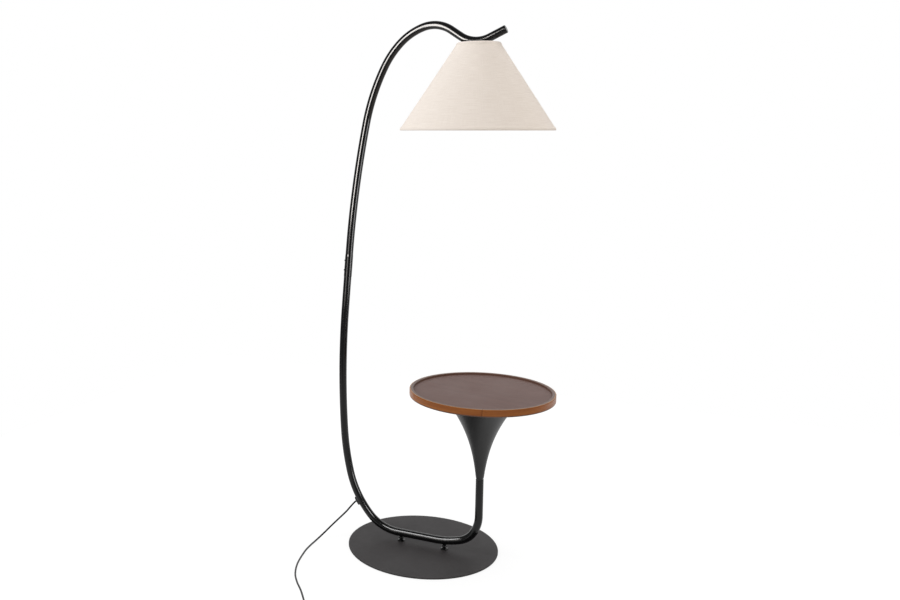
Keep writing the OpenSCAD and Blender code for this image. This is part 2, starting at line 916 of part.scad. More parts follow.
lead_route = [
    cord_exit, cord_exit + 8 * grommet_out, [-225, -5, 80], [-236, -14, 65], [-250, -32, 49],
    [-264, -51, 33], [-278, -74, 16], [-288, -103, 4.2], [-289, -152, 2.6],
    [-285, -195, floor_z], [-270, -268, floor_z], [-248, -326, floor_z], [-222, -368, floor_z],
    [-192, -406, floor_z], [-163, -448, floor_z], [-148, -474, 4.5], [-139, -493, 8],
    [-133, -506, switch_cord_z], [-127, -519, switch_cord_z]
];
tail_route = [
    [-97, -583, switch_cord_z], [-87, -605, 8.6], [-78, -624, 5.5], [-70, -641, 3.8], [-65, -652, 3.6]
];
end_route = [
    [-34, -670, 4], [-16, -673.5, 2.7], [2, plug_y, 3.6], [14, plug_y, 5.8], [24, plug_y, plug_z],
    [plug_x, plug_y, plug_z]
];

function curve_point(a, b, c, d, t) =
    0.5 * (2 * b + (c - a) * t + (2 * a - 5 * b + 4 * c - d) * t * t
           + (3 * b - a - 3 * c + d) * t * t * t);
function route_point(p, i) = p[max(0, min(len(p) - 1, i))];
function rounded(p) = concat(
    [for (i = [0:len(p) - 2], k = [0:cord_rings - 1])
        curve_point(route_point(p, i - 1), p[i], p[i + 1], route_point(p, i + 2), k / cord_rings)],
    [last(p)]
);
function unit(v) = v / norm(v);
function line_ring(line, i) =
    let (along = unit(route_point(line, i + 1) - route_point(line, i - 1)),
         aside = unit(cross(along, [0, 0, 1])), above = cross(aside, along))
    [for (k = [0:cord_sides - 1])
        line[i] + cord_r * (cos(360 * k / cord_sides) * aside + sin(360 * k / cord_sides) * above)];

module cord_tube(route) {
    line = rounded(route);
    count = len(line);
    rings = [for (i = [0:count - 1]) each line_ring(line, i)];
    walls = [
        for (i = [0:count - 2], k = [0:cord_sides - 1])
            let (next = (k + 1) % cord_sides, low = i * cord_sides, high = low + cord_sides)
            [low + k, low + next, high + next, high + k]
    ];
    ends = [
        [for (k = [cord_sides - 1:-1:0]) k],
        [for (k = [0:cord_sides - 1]) (count - 1) * cord_sides + k]
    ];
    color("#161616") polyhedron(points = rings, faces = concat(walls, ends));
}

module cord_lead() {
    cord_tube(lead_route);
}

module cord_tail() {
    cord_tube(tail_route);
}

module cord_end() {
    cord_tube(end_route);
}

// Three turns side by side and two more in the grooves on top of them
module bundle_profile(grow) {
    for (x = [-cord_d, 0, cord_d]) translate([x, 0]) circle(r = cord_r + grow, $fn = 24);
    for (x = [-cord_r, cord_r]) translate([x, coil_row_z]) circle(r = cord_r + grow, $fn = 24);
    polygon([
        [-cord_d, -cord_r - grow], [cord_d, -cord_r - grow], [cord_d, 0],
        [cord_r, coil_row_z], [-cord_r, coil_row_z], [-cord_d, 0]
    ]);
}

module cord_coil() {
    color("#161616")
        translate([coil_place[0], coil_place[1], coil_z + cord_r])
            rotate_extrude()
                translate([coil_r, 0]) bundle_profile(0);
}

module coil_tie() {
    color("#303030")
        translate([coil_place[0], coil_place[1], coil_z + cord_r])
            rotate([0, 0, 60])
                rotate_extrude(angle = 18, $fn = 240)
                    translate([coil_r, 0])
                        difference() {
                            bundle_profile(coil_z);
                            bundle_profile(0);
                        }
}

// ---- Foot switch ----
switch_base_h = switch_cord_z;
cord_hole_l = 10;
button_r = button_d / 2;
button_floor_z = switch_base_h + 1;

module at_switch() {
    translate([switch_place[0], switch_place[1], 0]) rotate([0, 0, switch_turn]) children();
}

module switch_cord_holes() {
    for (turn = [0, 180])
        rotate([0, 0, turn])
            translate([switch_l / 2 - cord_hole_l, 0, switch_cord_z])
                rotate([0, 90, 0]) cylinder(h = cord_hole_l + 1, r = cord_r);
}

module switch_base() {
    color("#141414")
        at_switch()
            difference() {
                linear_extrude(height = switch_base_h) oval(switch_l, switch_w);
                switch_cord_holes();
            }
}

module switch_cover() {
    step_h = 2;
    color("#141414")
        at_switch()
            difference() {
                union() {
                    translate([0, 0, switch_base_h])
                        linear_extrude(height = switch_h - switch_base_h - step_h)
                            oval(switch_l, switch_w);
                    translate([0, 0, switch_h - step_h])
                        linear_extrude(height = step_h) oval(switch_l - 2 * step_h, switch_w - 2 * step_h);
                }
                translate([0, 0, button_floor_z]) cylinder(h = switch_h, r = button_r + gap);
                switch_cord_holes();
            }
}

module switch_button() {
    bottom_z = button_floor_z + button_travel + gap;
    top_z = switch_h + button_h;
    edge = 1.5;
    color("#1d1d1d")
        at_switch()
            rotate_extrude()
                polygon([
                    [0, bottom_z], [button_r, bottom_z], [button_r, top_z - edge],
                    [button_r - edge, top_z], [0, top_z]
                ]);
}

module cord_relief(length, wide_r, thin_r) {
    difference() {
        cylinder(h = length, r1 = wide_r, r2 = thin_r);
        translate([0, 0, -1]) cylinder(h = length + 2, r = cord_r);
    }
}

relief_l = 22;

module switch_relief(turn) {
    color("#141414")
        at_switch()
            rotate([0, 0, turn])
                translate([switch_l / 2, 0, switch_cord_z])
                    rotate([0, 90, 0]) cord_relief(relief_l, cord_r + 2.2, cord_r + 1.2);
}

// ---- Plug ----
plug_l = 33;
plug_w = 25;
plug_t = 13.6;
pin_gap = 18.6;
pin_l = 19;
pin_r = 2;

module plug_relief() {
    color("#161616")
        translate([plug_x, plug_y, plug_z])
            rotate([0, -90, 0]) cord_relief(relief_l, cord_r + 2.5, cord_r + 1.2);
}

module plug_body() {
    back_w = 12;
    color("#161616")
        translate([plug_x, plug_y, plug_z - plug_t / 2])
            linear_extrude(height = plug_t)
                polygon([
                    [0, -back_w / 2], [plug_l * 0.35, -plug_w / 2], [plug_l - 2, -plug_w / 2],
                    [plug_l, -plug_w / 2 + 2], [plug_l, plug_w / 2 - 2], [plug_l - 2, plug_w / 2],
                    [plug_l * 0.35, plug_w / 2], [0, back_w / 2]
                ]);
}

module plug_pin(side) {
    color("#c4c6c8")
        translate([plug_x + plug_l, plug_y + side * pin_gap / 2, plug_z])
            rotate([0, 90, 0])
                union() {
                    cylinder(h = pin_l - 1, r = pin_r);
                    translate([0, 0, pin_l - 1]) cylinder(h = 1, r1 = pin_r, r2 = pin_r - 0.7);
                }
}

floor_pad();
base_plate();
foot_post(post_places[0]);  // post_rear
foot_post(post_places[1]);  // post_front
foot_screw(post_places[0]);  // foot_screw_rear
foot_screw(post_places[1]);  // foot_screw_front
foot_nut(post_places[0]);  // foot_nut_rear
foot_nut(post_places[1]);  // foot_nut_front
lower_tube();
upper_tube();
joint_sleeve();
joint_screw(joint_screw_places[0]);  // joint_screw_low
joint_screw(joint_screw_places[1]);  // joint_screw_high
tube_end_cap();
cord_grommet();
inner_lead();
stem_plug();
trumpet();
trumpet_rod();
table_mount();
table_screw(0);  // table_screw_1
table_screw(120);  // table_screw_2
table_screw(240);  // table_screw_3
table_board();
table_sheet();
table_hoop();
holder_boss();
holder_nipple();
holder_cap();
holder_skirt();
holder_core();
holder_ring();
bulb_cap();
bulb_contact();
bulb_globe();
shade_cone();
shade_top_hem();
shade_bottom_hem();
shade_top_wire();
shade_spider();
shade_bottom_wire();
cord_lead();
switch_base();
switch_cover();
switch_button();
switch_relief(180);  // switch_relief_in
switch_relief(0);  // switch_relief_out
cord_tail();
cord_coil();
coil_tie();
cord_end();
plug_relief();
plug_body();
plug_pin(1);  // plug_pin_left
plug_pin(-1);  // plug_pin_right
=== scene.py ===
"""Arched floor lamp with a side table: cloth, wood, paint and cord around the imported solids.

Lengths are in metres and angles in degrees unless a name says otherwise. The foot's underside lies
on z = 0, the bent tube stands in the plane y = 0, and the table is on the +x side.
"""

from __future__ import annotations

import logging
import math
from dataclasses import dataclass, replace
from enum import Enum

import bpy
import numpy as np
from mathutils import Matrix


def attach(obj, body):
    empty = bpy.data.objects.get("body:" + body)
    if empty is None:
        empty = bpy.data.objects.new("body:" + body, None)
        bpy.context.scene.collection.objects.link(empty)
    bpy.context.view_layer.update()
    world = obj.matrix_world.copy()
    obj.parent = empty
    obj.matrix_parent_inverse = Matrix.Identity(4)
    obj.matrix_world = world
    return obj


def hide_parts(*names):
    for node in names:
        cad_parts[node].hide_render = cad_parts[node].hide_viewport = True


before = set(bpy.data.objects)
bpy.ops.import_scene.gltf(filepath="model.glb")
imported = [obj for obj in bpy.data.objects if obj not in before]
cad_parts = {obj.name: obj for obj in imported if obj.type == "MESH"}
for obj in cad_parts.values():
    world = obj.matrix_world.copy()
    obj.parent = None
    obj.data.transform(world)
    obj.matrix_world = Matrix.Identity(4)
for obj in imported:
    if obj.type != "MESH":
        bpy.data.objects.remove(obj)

log = logging.getLogger("arched_lamp")
Array = np.ndarray
TURN = 2 * math.pi
MM = 0.001
BEYOND = 1.3


# ---- Surfaces: grids of points, joined into faces ----


@dataclass(frozen=True)
class Skin:
    """One surface: its points, its faces of four and of three sides, and a UV for each corner."""

    points: Array
    quads: Array
    quad_uv: Array
    tris: Array
    tri_uv: Array


def grid_skin(
    points: Array,
    across: Array,
    along: Array,
    wrap_rows: bool = False,
    low_tip: Array | None = None,
    high_tip: Array | None = None,
) -> Skin:
    """Joins a grid of points into faces; its columns always close on themselves.

    Face (i, j) takes the points (i, j), (i, j+1), (i+1, j+1) and (i+1, j). A tip is a single point
    that a fan of triangles joins to the first or the last row.

    Args:
        points: Grid of points, rows by columns by three.
        across: U of each column, and of the column that closes the grid.
        along: V of each row, and of the row that closes it where the rows wrap.
        wrap_rows: Whether the last row joins the first.
        low_tip: Point that closes the first row.
        high_tip: Point that closes the last row.

    Returns:
        The grid's surface, with its faces outward where columns cross rows turns outward.
    """
    rows, cols = points.shape[:2]
    i = np.arange(rows if wrap_rows else rows - 1)[:, None]
    j = np.arange(cols)[None, :]
    up, side = (i + 1) % rows, (j + 1) % cols
    corners = [(i, j), (i, side), (up, side), (up, j)]
    quads = np.stack([a * cols + b for a, b in corners], axis=-1).reshape(-1, 4)
    marks = [(i, j), (i, j + 1), (i + 1, j + 1), (i + 1, j)]
    quad_uv = np.stack(
        [np.stack(np.broadcast_arrays(across[b], along[a]), axis=-1) for a, b in marks], axis=-2
    ).reshape(-1, 4, 2)

    flat = [points.reshape(-1, 3)]
    tris, tri_uv = [np.zeros((0, 3), int)], [np.zeros((0, 3, 2))]
    ring, after = np.arange(cols), (np.arange(cols) + 1) % cols
    middle = (across[:-1] + across[1:]) / 2
    for tip, row, turned in ((low_tip, 0, True), (high_tip, rows - 1, False)):
        if tip is None:
            continue
        index = np.full(cols, rows * cols + len(flat) - 1)
        first, second = (after, ring) if turned else (ring, after)
        tris.append(np.stack([index, row * cols + first, row * cols + second], axis=-1))
        v = np.full(cols, along[row])
        u_first, u_second = (across[1:], across[:-1]) if turned else (across[:-1], across[1:])
        tri_uv.append(
            np.stack([np.stack([u, v], axis=-1) for u in (middle, u_first, u_second)], axis=-2)
        )
        flat.append(np.asarray(tip, float).reshape(1, 3))
    return Skin(
        np.concatenate(flat), quads, quad_uv, np.concatenate(tris), np.concatenate(tri_uv)
    )


def lengths(line: Array) -> Array:
    """Gives how far along a line of points each of them lies, from the first."""
    steps = np.linalg.norm(np.diff(line, axis=0), axis=1)
    return np.concatenate([[0.0], np.cumsum(steps)])


def smooth_line(points: Array, steps: int) -> Array:
    """Draws a smooth curve through points.

    Between two of them the curve is the cubic whose slope at each is half the chord between that
    point's two neighbours.

    Args:
        points: Points that the curve passes through, one a row.
        steps: Number of steps from one point to the next.

    Returns:
        The curve's points, one a row.
    """
    count = len(points)
    i = np.arange(count - 1)
    a, b = points[np.maximum(i - 1, 0)], points[i]
    c, d = points[i + 1], points[np.minimum(i + 2, count - 1)]
    t = (np.arange(steps) / steps)[None, :, None]
    a, b, c, d = (p[:, None, :] for p in (a, b, c, d))
    curve = 0.5 * (
        2 * b + (c - a) * t + (2 * a - 5 * b + 4 * c - d) * t**2 + (3 * b - a - 3 * c + d) * t**3
    )
    return np.concatenate([curve.reshape(-1, points.shape[1]), points[-1:]])


def resampled(line: Array, spacing: float) -> Array:
    """Sets a line's points an equal distance apart.

    Args:
        line: Points close enough together to hold the line's shape.
        spacing: Distance wanted between neighbours.

    Returns:
        The same line with evenly spaced points, its ends kept.
    """
    at = lengths(line)
    wanted = np.linspace(0.0, at[-1], max(2, round(at[-1] / spacing) + 1))
    return np.stack([np.interp(wanted, at, line[:, k]) for k in range(line.shape[1])], axis=-1)


def filleted(corners: Array, radius: float | Array, steps: int = 4) -> Array:
    """Rounds the corners of a closed outline.

    Each corner becomes the quadratic curve between two points a radius away from it on its sides.
    One more point past each end, BEYOND times as far from the corner, keeps the shading of the
    flat sides level.

    Args:
        corners: Corners of the outline in the plane, one a row.
        radius: How far each curve reaches along the corner's sides.
        steps: Number of steps in each curve.

    Returns:
        The rounded outline's points, in the corners' order.
    """
    reach = np.broadcast_to(np.asarray(radius, float), (len(corners),))[:, None]
    before, after = np.roll(corners, 1, axis=0) - corners, np.roll(corners, -1, axis=0) - corners
    before /= np.linalg.norm(before, axis=1, keepdims=True)
    after /= np.linalg.norm(after, axis=1, keepdims=True)
    start, end = corners + before * reach, corners + after * reach
    t = np.linspace(0, 1, steps + 1)[None, :, None]
    curve = (
        (1 - t) ** 2 * start[:, None] + 2 * t * (1 - t) * corners[:, None] + t**2 * end[:, None]
    )
    past = [(corners + way * reach * BEYOND)[:, None] for way in (before, after)]
    return np.concatenate([past[0], curve, past[1]], axis=1).reshape(-1, 2)


def about(axis: tuple[float, float], radius: Array, angle: Array, height: Array) -> Array:
    """Gives the points x = ax + radius cos angle, y = ay + radius sin angle, z = height."""
    x, y = axis[0] + radius * np.cos(angle), axis[1] + radius * np.sin(angle)
    return np.stack(np.broadcast_arrays(x, y, height), axis=-1)


def revolved(
    profile: Array,
    axis: tuple[float, float],
    columns: int,
    wrap: bool = False,
    low: float | None = None,
    high: float | None = None,
) -> Skin:
    """Carries a profile once round an upright axis.

    U is the length round the profile's mean radius, and V the length along the profile.

    Args:
        profile: Radius and height of each point; upwards along an outer side.
        axis: Where the axis stands, x and y.
        columns: Number of steps round.
        wrap: Whether the profile closes on itself.
        low: Height of a tip on the axis that closes the profile's start.
        high: Height of a tip on the axis that closes its end.

    Returns:
        The turned surface.
    """
    share = np.arange(columns + 1) / columns
    points = about(axis, profile[:, :1], TURN * share[:-1], profile[:, 1:])
    line = np.concatenate([profile, profile[:1]]) if wrap else profile
    tips = [None if z is None else np.array([axis[0], axis[1], z]) for z in (low, high)]
    across = share * TURN * profile[:, 0].mean()
    return grid_skin(points, across, lengths(line), wrap, *tips)


def part_turn(
    outline: Array, axis: tuple[float, float], start: float | Array, end: float, steps: int
) -> Skin:
    """Carries a closed outline part of the way round an upright axis and caps both ends.

    U is the length round the outline, and V the length along the arc at its mean radius.

    Args:
        outline: Radius and height of each corner, downwards along its outer side.
        axis: Where the axis stands, x and y.
        start: Angle of the first end, in degrees, one for all or one for each corner.
        end: Angle of the last end, in degrees.
        steps: Number of steps between them.

    Returns:
        The closed surface.
    """
    angle = np.radians(np.linspace(np.broadcast_to(start, len(outline)), end, steps + 1))
    points = about(axis, outline[:, 0], angle, outline[:, 1])
    around = lengths(np.concatenate([outline, outline[:1]]))
    along = (angle - angle[0]).mean(axis=1) * outline[:, 0].mean()
    return grid_skin(points, around, along, False, points[0].mean(axis=0), points[-1].mean(axis=0))


def swept(
    centres: Array, above: Array, side: Array, radius: Array, sides: int, along: Array
) -> Skin:
    """Carries a circle along a line and closes both ends with a fan.

    Ring i is centre + radius (cos a above + sin a side), with above cross side pointing along the
    line.

    Args:
        centres: Centre of each ring.
        above: Direction of angle 0 in each ring, one a row or one for all.
        side: Direction of a quarter turn.
        radius: Radius of each ring.
        sides: Number of steps round a ring.
        along: Length along the line of each ring.

    Returns:
        The closed tube.
    """
    angle = TURN * np.arange(sides) / sides
    above, side = (np.broadcast_to(v, centres.shape)[:, None, :] for v in (above, side))
    turned = np.cos(angle)[None, :, None] * above + np.sin(angle)[None, :, None] * side
    points = centres[:, None, :] + radius[:, None, None] * turned
    across = TURN * radius.mean() * np.arange(sides + 1) / sides
    return grid_skin(points, across, along, False, centres[0], centres[-1])


def make_piece(name: str, skins: list[Skin], material: bpy.types.Material) -> bpy.types.Object:
    """Puts surfaces into one smooth-shaded mesh object at the origin.

    Args:
        name: Name of the object.
        skins: Surfaces, which keep their own points.
        material: Material of all their faces.

    Returns:
        The new object, linked to the scene.
    """
    starts = np.cumsum([0] + [len(s.points) for s in skins])
    quads = np.concatenate([s.quads + n for s, n in zip(skins, starts)])
    tris = np.concatenate([s.tris + n for s, n in zip(skins, starts)])
    uv = np.concatenate(
        [s.quad_uv.reshape(-1, 2) for s in skins] + [s.tri_uv.reshape(-1, 2) for s in skins]
    )
    mesh = bpy.data.meshes.new(name)
    points = np.concatenate([s.points for s in skins])
    mesh.from_pydata(points.tolist(), [], quads.tolist() + tris.tolist())
    mesh.uv_layers.new(name="UVMap").data.foreach_set("uv", uv.astype(np.float32).ravel())
    mesh.materials.append(material)
    mesh.shade_smooth()
    mesh.update()
    piece = bpy.data.objects.new(name, mesh)
    bpy.context.scene.collection.objects.link(piece)
    return piece


def dress(material: bpy.types.Material, *nodes: str) -> None:
    """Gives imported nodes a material, in place of their plain one."""
    for name in nodes:
        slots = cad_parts[name].data.materials
        slots.clear()
        slots.append(material)


# ---- Shader wiring ----

Socket = bpy.types.NodeSocket


class Wiring:
    """Adds nodes to a shader tree and joins them."""

    def __init__(self, tree: bpy.types.NodeTree) -> None:
        """Starts with an empty tree."""
        self.tree = tree
        tree.nodes.clear()

    def add(self, kind: str, inputs: dict | None = None, **settings: object) -> bpy.types.Node:
        """Adds one node.

        Args:
            kind: Type name of the node.
            inputs: Value or socket for each input, by its name or number.
            settings: Properties of the node.

        Returns:
            The new node.
        """
        node = self.tree.nodes.new(kind)
        for name, value in settings.items():
            setattr(node, name, value)
        for name, value in (inputs or {}).items():
            self.feed(node.inputs[name], value)
        return node

    def feed(self, socket: Socket, value: object) -> None:
        """Joins a socket to another, or sets its value."""
        if isinstance(value, bpy.types.NodeSocket):
            self.tree.links.new(value, socket)
        else:
            socket.default_value = value

    def math(self, operation: str, *values: object) -> Socket:
        """Gives the result of one sum on numbers or sockets."""
        node = self.add("ShaderNodeMath", dict(enumerate(values)), operation=operation)
        return node.outputs[0]

    def times(self, first: object, second: object) -> Socket:
        """Multiplies two numbers."""
        return self.math("MULTIPLY", first, second)

    def weighted(self, value: object, weight: object, rest: object) -> Socket:
        """Gives a value times its weight, plus the rest."""
        return self.math("MULTIPLY_ADD", value, weight, rest)

    def parts(self, vector: Socket) -> bpy.types.bpy_prop_collection:
        """Splits a vector into its X, Y and Z."""
        return self.add("ShaderNodeSeparateXYZ", {0: vector}).outputs

    def ranged(
        self, value: Socket, low: float, high: float, to_low: float = 0.0, to_high: float = 1.0
    ) -> Socket:
        """Maps a value from one range to another, and keeps it inside the second.

        Args:
            value: Number to map.
            low: Value that becomes to_low.
            high: Value that becomes to_high.
            to_low: Result at and below low.
            to_high: Result at and above high.

        Returns:
            The mapped number.
        """
        ends = {"From Min": low, "From Max": high, "To Min": to_low, "To Max": to_high}
        return self.add("ShaderNodeMapRange", {"Value": value, **ends}).outputs["Result"]

    def mixed(self, share: Socket | float, first: object, second: object) -> Socket:
        """Mixes two numbers; a share of 1 is all of the second."""
        return self.add("ShaderNodeMix", {0: share, 2: first, 3: second}).outputs[0]

    def blended(self, share: Socket | float, first: object, second: object) -> Socket:
        """Mixes two colours; a share of 1 is all of the second."""
        node = self.add("ShaderNodeMix", data_type="RGBA")
        self.feed(node.inputs["Factor"], share)
        self.feed(node.inputs[6], first)
        self.feed(node.inputs[7], second)
        return node.outputs[2]

    def noise(self, place: Socket, scale: Socket | float, detail: float = 2.0) -> Socket:
        """Gives a soft noise around one half, with patches a scale's inverse across."""
        sizes = {"Vector": place, "Scale": scale, "Detail": detail, "Roughness": 0.5}
        return self.add("ShaderNodeTexNoise", sizes).outputs["Fac"]


class Effect(Enum):
    """The effects that several finishes share, each one node group."""

    SPRAYED = "sprayed coat"
    HANDLED = "handled sheen"
    WOVEN = "woven linen"
    GRAINED = "wood grain"


def effect_tree(
    effect: Effect, inputs: dict[str, float | None], outputs: tuple[str, ...]
) -> tuple[Wiring, bpy.types.bpy_prop_collection]:
    """Starts a node group whose outputs are numbers.

    Args:
        effect: Which effect the group makes.
        inputs: Starting value of each number that the group takes, by name; None for a place.
        outputs: Names of the outputs.

    Returns:
        The wiring of the new group's tree, and the sockets that give its inputs.
    """
    tree = bpy.data.node_groups.new(effect.value, "ShaderNodeTree")
    wiring = Wiring(tree)
    for name, start in inputs.items():
        kind = "NodeSocketVector" if start is None else "NodeSocketFloat"
        socket = tree.interface.new_socket(name, in_out="INPUT", socket_type=kind)
        if start is not None:
            socket.default_value = start
    for name in outputs:
        tree.interface.new_socket(name, in_out="OUTPUT", socket_type="NodeSocketFloat")
    return wiring, wiring.add("NodeGroupInput").outputs


def build_sprayed() -> None:
    """Builds the fine pebbled skin of sprayed paint: two noises, the finer one stronger."""
    wiring, given = effect_tree(
        Effect.SPRAYED, {"Place": None, "Size": 0.001}, ("Height", "Tone")
    )
    scale = wiring.math("DIVIDE", 1.0, given["Size"])
    fine = wiring.noise(given["Place"], scale, detail=1.0)
    wide = wiring.noise(given["Place"], wiring.times(scale, 0.21), detail=2.0)
    height = wiring.weighted(wide, 0.4, fine)
    wiring.add("NodeGroupOutput", {"Height": height, "Tone": wiring.ranged(fine, 0.35, 0.68)})


def build_handled() -> None:
    """Builds uneven gloss from handling: a roughness that wanders by a given amount."""
    wiring, given = effect_tree(
        Effect.HANDLED, {"Place": None, "Level": 0.3, "Spread": 0.05}, ("Roughness",)
    )
    wide = wiring.noise(given["Place"], scale=9.0, detail=3.0)
    fine = wiring.noise(given["Place"], scale=70.0, detail=3.0)
    about_zero = wiring.math("SUBTRACT", wiring.weighted(fine, 0.4, wide), 0.7)
    level = wiring.weighted(about_zero, wiring.times(given["Spread"], 3.0), given["Level"])
    wiring.add("NodeGroupOutput", {"Roughness": level})


def build_woven() -> None:
    """Builds plain-woven linen on a cloth's UV.

    Threads are sine ridges in U and V whose spacing and tone a stretched noise varies, so that
    some threads of the weft are thicker than the rest, as slubs are.
    """
    wiring, given = effect_tree(
        Effect.WOVEN, {"Place": None, "Thread": 0.0006}, ("Height", "Slub", "Gap")
    )
    uv = wiring.parts(given["Place"])
    turns = wiring.math("DIVIDE", TURN / 2, given["Thread"])

    def streaks(across: float, along: float) -> Socket:
        """Gives noise drawn out along one thread direction."""
        sides = {0: wiring.times(uv["X"], along), 1: wiring.times(uv["Y"], across)}
        place = wiring.add("ShaderNodeCombineXYZ", sides)
        return wiring.noise(place.outputs[0], scale=1.0, detail=2.0)

    def ridges(way: Socket) -> Socket:
        """Gives one rounded ridge for each thread."""
        return wiring.math("ABSOLUTE", wiring.math("SINE", wiring.times(way, turns)))

    weft_slub = streaks(across=1150.0, along=26.0)
    fine_slub = streaks(across=2300.0, along=90.0)
    warp_slub = streaks(across=22.0, along=1300.0)
    weft = ridges(wiring.weighted(streaks(across=60.0, along=9.0), 0.004, uv["Y"]))
    warp = ridges(uv["X"])
    ridge = wiring.math("MAXIMUM", weft, wiring.times(warp, 0.85))
    threads = wiring.weighted(fine_slub, 0.45, wiring.times(weft_slub, 0.75))
    slub = wiring.weighted(warp_slub, 0.3, threads)
    wiring.add(
        "NodeGroupOutput",
        {
            "Height": wiring.weighted(weft_slub, 1.3, ridge),
            "Slub": wiring.ranged(slub, 0.58, 0.92),
            "Gap": wiring.ranged(ridge, 0.25, 0.75, 1.0, 0.0),
        },
    )


def build_grained() -> None:
    """Builds wood grain along X: long streaks, short dark pores and broad bands of colour."""
    wiring, given = effect_tree(
        Effect.GRAINED, {"Place": None, "Fineness": 1.0}, ("Streak", "Pore", "Band")
    )
    sized = wiring.add(
        "ShaderNodeVectorMath", {0: given["Place"], "Scale": given["Fineness"]}, operation="SCALE"
    ).outputs[0]

    def drawn_out(along: float, across: float, detail: float) -> Socket:
        """Gives noise stretched along the grain."""
        scale = (along, across, across)
        place = wiring.add("ShaderNodeMapping", {"Vector": sized, "Scale": scale})
        return wiring.noise(place.outputs[0], 1.0, detail)

    streak = wiring.ranged(drawn_out(along=7.0, across=420.0, detail=4.0), 0.3, 0.7)
    pore = wiring.ranged(drawn_out(along=60.0, across=1500.0, detail=1.0), 0.6, 0.72)
    band = wiring.ranged(drawn_out(along=2.2, across=60.0, detail=3.0), 0.32, 0.68)
    wiring.add("NodeGroupOutput", {"Streak": streak, "Pore": pore, "Band": band})


# ---- Finishes ----


class Place(Enum):
    """Where a pattern's coordinates come from."""

    SOLID = "Object"
    CLOTH = "UV"


class Surface(Wiring):
    """The node tree of one material, with its shader and its output."""

    def __init__(self, name: str) -> None:
        """Makes the material with a plain shader."""
        self.material = bpy.data.materials.new(name)
        self.material.use_nodes = True
        super().__init__(self.material.node_tree)
        self.shader = self.add("ShaderNodeBsdfPrincipled")
        self.add("ShaderNodeOutputMaterial", {"Surface": self.shader.outputs[0]})
        self.coordinates = self.add("ShaderNodeTexCoord").outputs

    def place(self, place: Place) -> Socket:
        """Gives the coordinates that a pattern follows."""
        return self.coordinates[place.value]

    def set(self, **values: object) -> None:
        """Sets or joins inputs of the shader, named with underscores for spaces."""
        for name, value in values.items():
            self.feed(self.shader.inputs[name.replace("_", " ")], value)

    def effect(self, effect: Effect, **values: object) -> bpy.types.bpy_prop_collection:
        """Places a shared effect.

        Args:
            effect: Which one.
            values: Value or socket for each of its inputs.

        Returns:
            The outputs of its node.
        """
        node = self.add("ShaderNodeGroup", node_tree=bpy.data.node_groups[effect.value])
        for name, value in values.items():
            self.feed(node.inputs[name], value)
        return node.outputs

    def sheen(self, level: float, spread: float) -> Socket:
        """Gives a roughness that wanders around a level, as handling leaves it."""
        solid = self.place(Place.SOLID)
        return self.effect(Effect.HANDLED, Place=solid, Level=level, Spread=spread)["Roughness"]

    def raise_by(self, height: Socket, depth: float, strength: float) -> None:
        """Bumps the surface by a height of 0 to 1 that stands for a depth in metres."""
        relief = {"Height": height, "Distance": depth, "Strength": strength}
        self.set(Normal=self.add("ShaderNodeBump", relief).outputs[0])


Colour = tuple[float, float, float]
WHITE: Colour = (1.0, 1.0, 1.0)


def rgba(colour: Colour, share: float = 1.0) -> tuple[float, float, float, float]:
    """Gives a colour times a share, with full alpha."""
    return (colour[0] * share, colour[1] * share, colour[2] * share, 1.0)


@dataclass(frozen=True)
class Paint:
    """Sprayed paint or a moulded skin: a tone that varies a little, over a fine pebbled relief."""

    name: str
    colour: Colour
    roughness: float
    spread: float
    pebble: float
    depth: float
    contrast: float = 0.15
    metallic: float = 0.0
    specular: float = 0.5

    def material(self) -> bpy.types.Material:
        """Builds the paint's material."""
        surface = Surface(self.name)
        coat = surface.effect(Effect.SPRAYED, Place=surface.place(Place.SOLID), Size=self.pebble)
        dark, light = rgba(self.colour, 1 - self.contrast), rgba(self.colour, 1 + self.contrast)
        surface.set(
            Base_Color=surface.blended(coat["Tone"], dark, light),
            Roughness=surface.sheen(self.roughness, self.spread),
            Metallic=self.metallic,
            Specular_IOR_Level=self.specular,
        )
        surface.raise_by(coat["Height"], self.depth, 1.0)
        return surface.material


@dataclass(frozen=True)
class Linen:
    """Plain-woven linen whose thicker weft threads show as darker and lighter lines."""

    name: str
    light: Colour
    dark: Colour
    thread: float = 0.0006
    depth: float = 0.00022
    relief: float = 0.8
    gap_share: float = 0.35
    gap_tone: float = 0.8
    roughness: float = 0.85
    specular: float = 0.2
    fuzz: float = 0.15
    fuzz_roughness: float = 0.5

    def material(self) -> bpy.types.Material:
        """Builds the cloth's material, with its pattern on the UV."""
        surface = Surface(self.name)
        weave = surface.effect(Effect.WOVEN, Place=surface.place(Place.CLOTH), Thread=self.thread)
        threads = surface.blended(weave["Slub"], rgba(self.dark), rgba(self.light))
        gaps = surface.times(weave["Gap"], self.gap_share)
        surface.set(
            Base_Color=surface.blended(gaps, threads, rgba(self.dark, self.gap_tone)),
            Roughness=self.roughness,
            Specular_IOR_Level=self.specular,
            Sheen_Weight=self.fuzz,
            Sheen_Roughness=self.fuzz_roughness,
        )
        surface.raise_by(weave["Height"], self.depth, self.relief)
        return surface.material


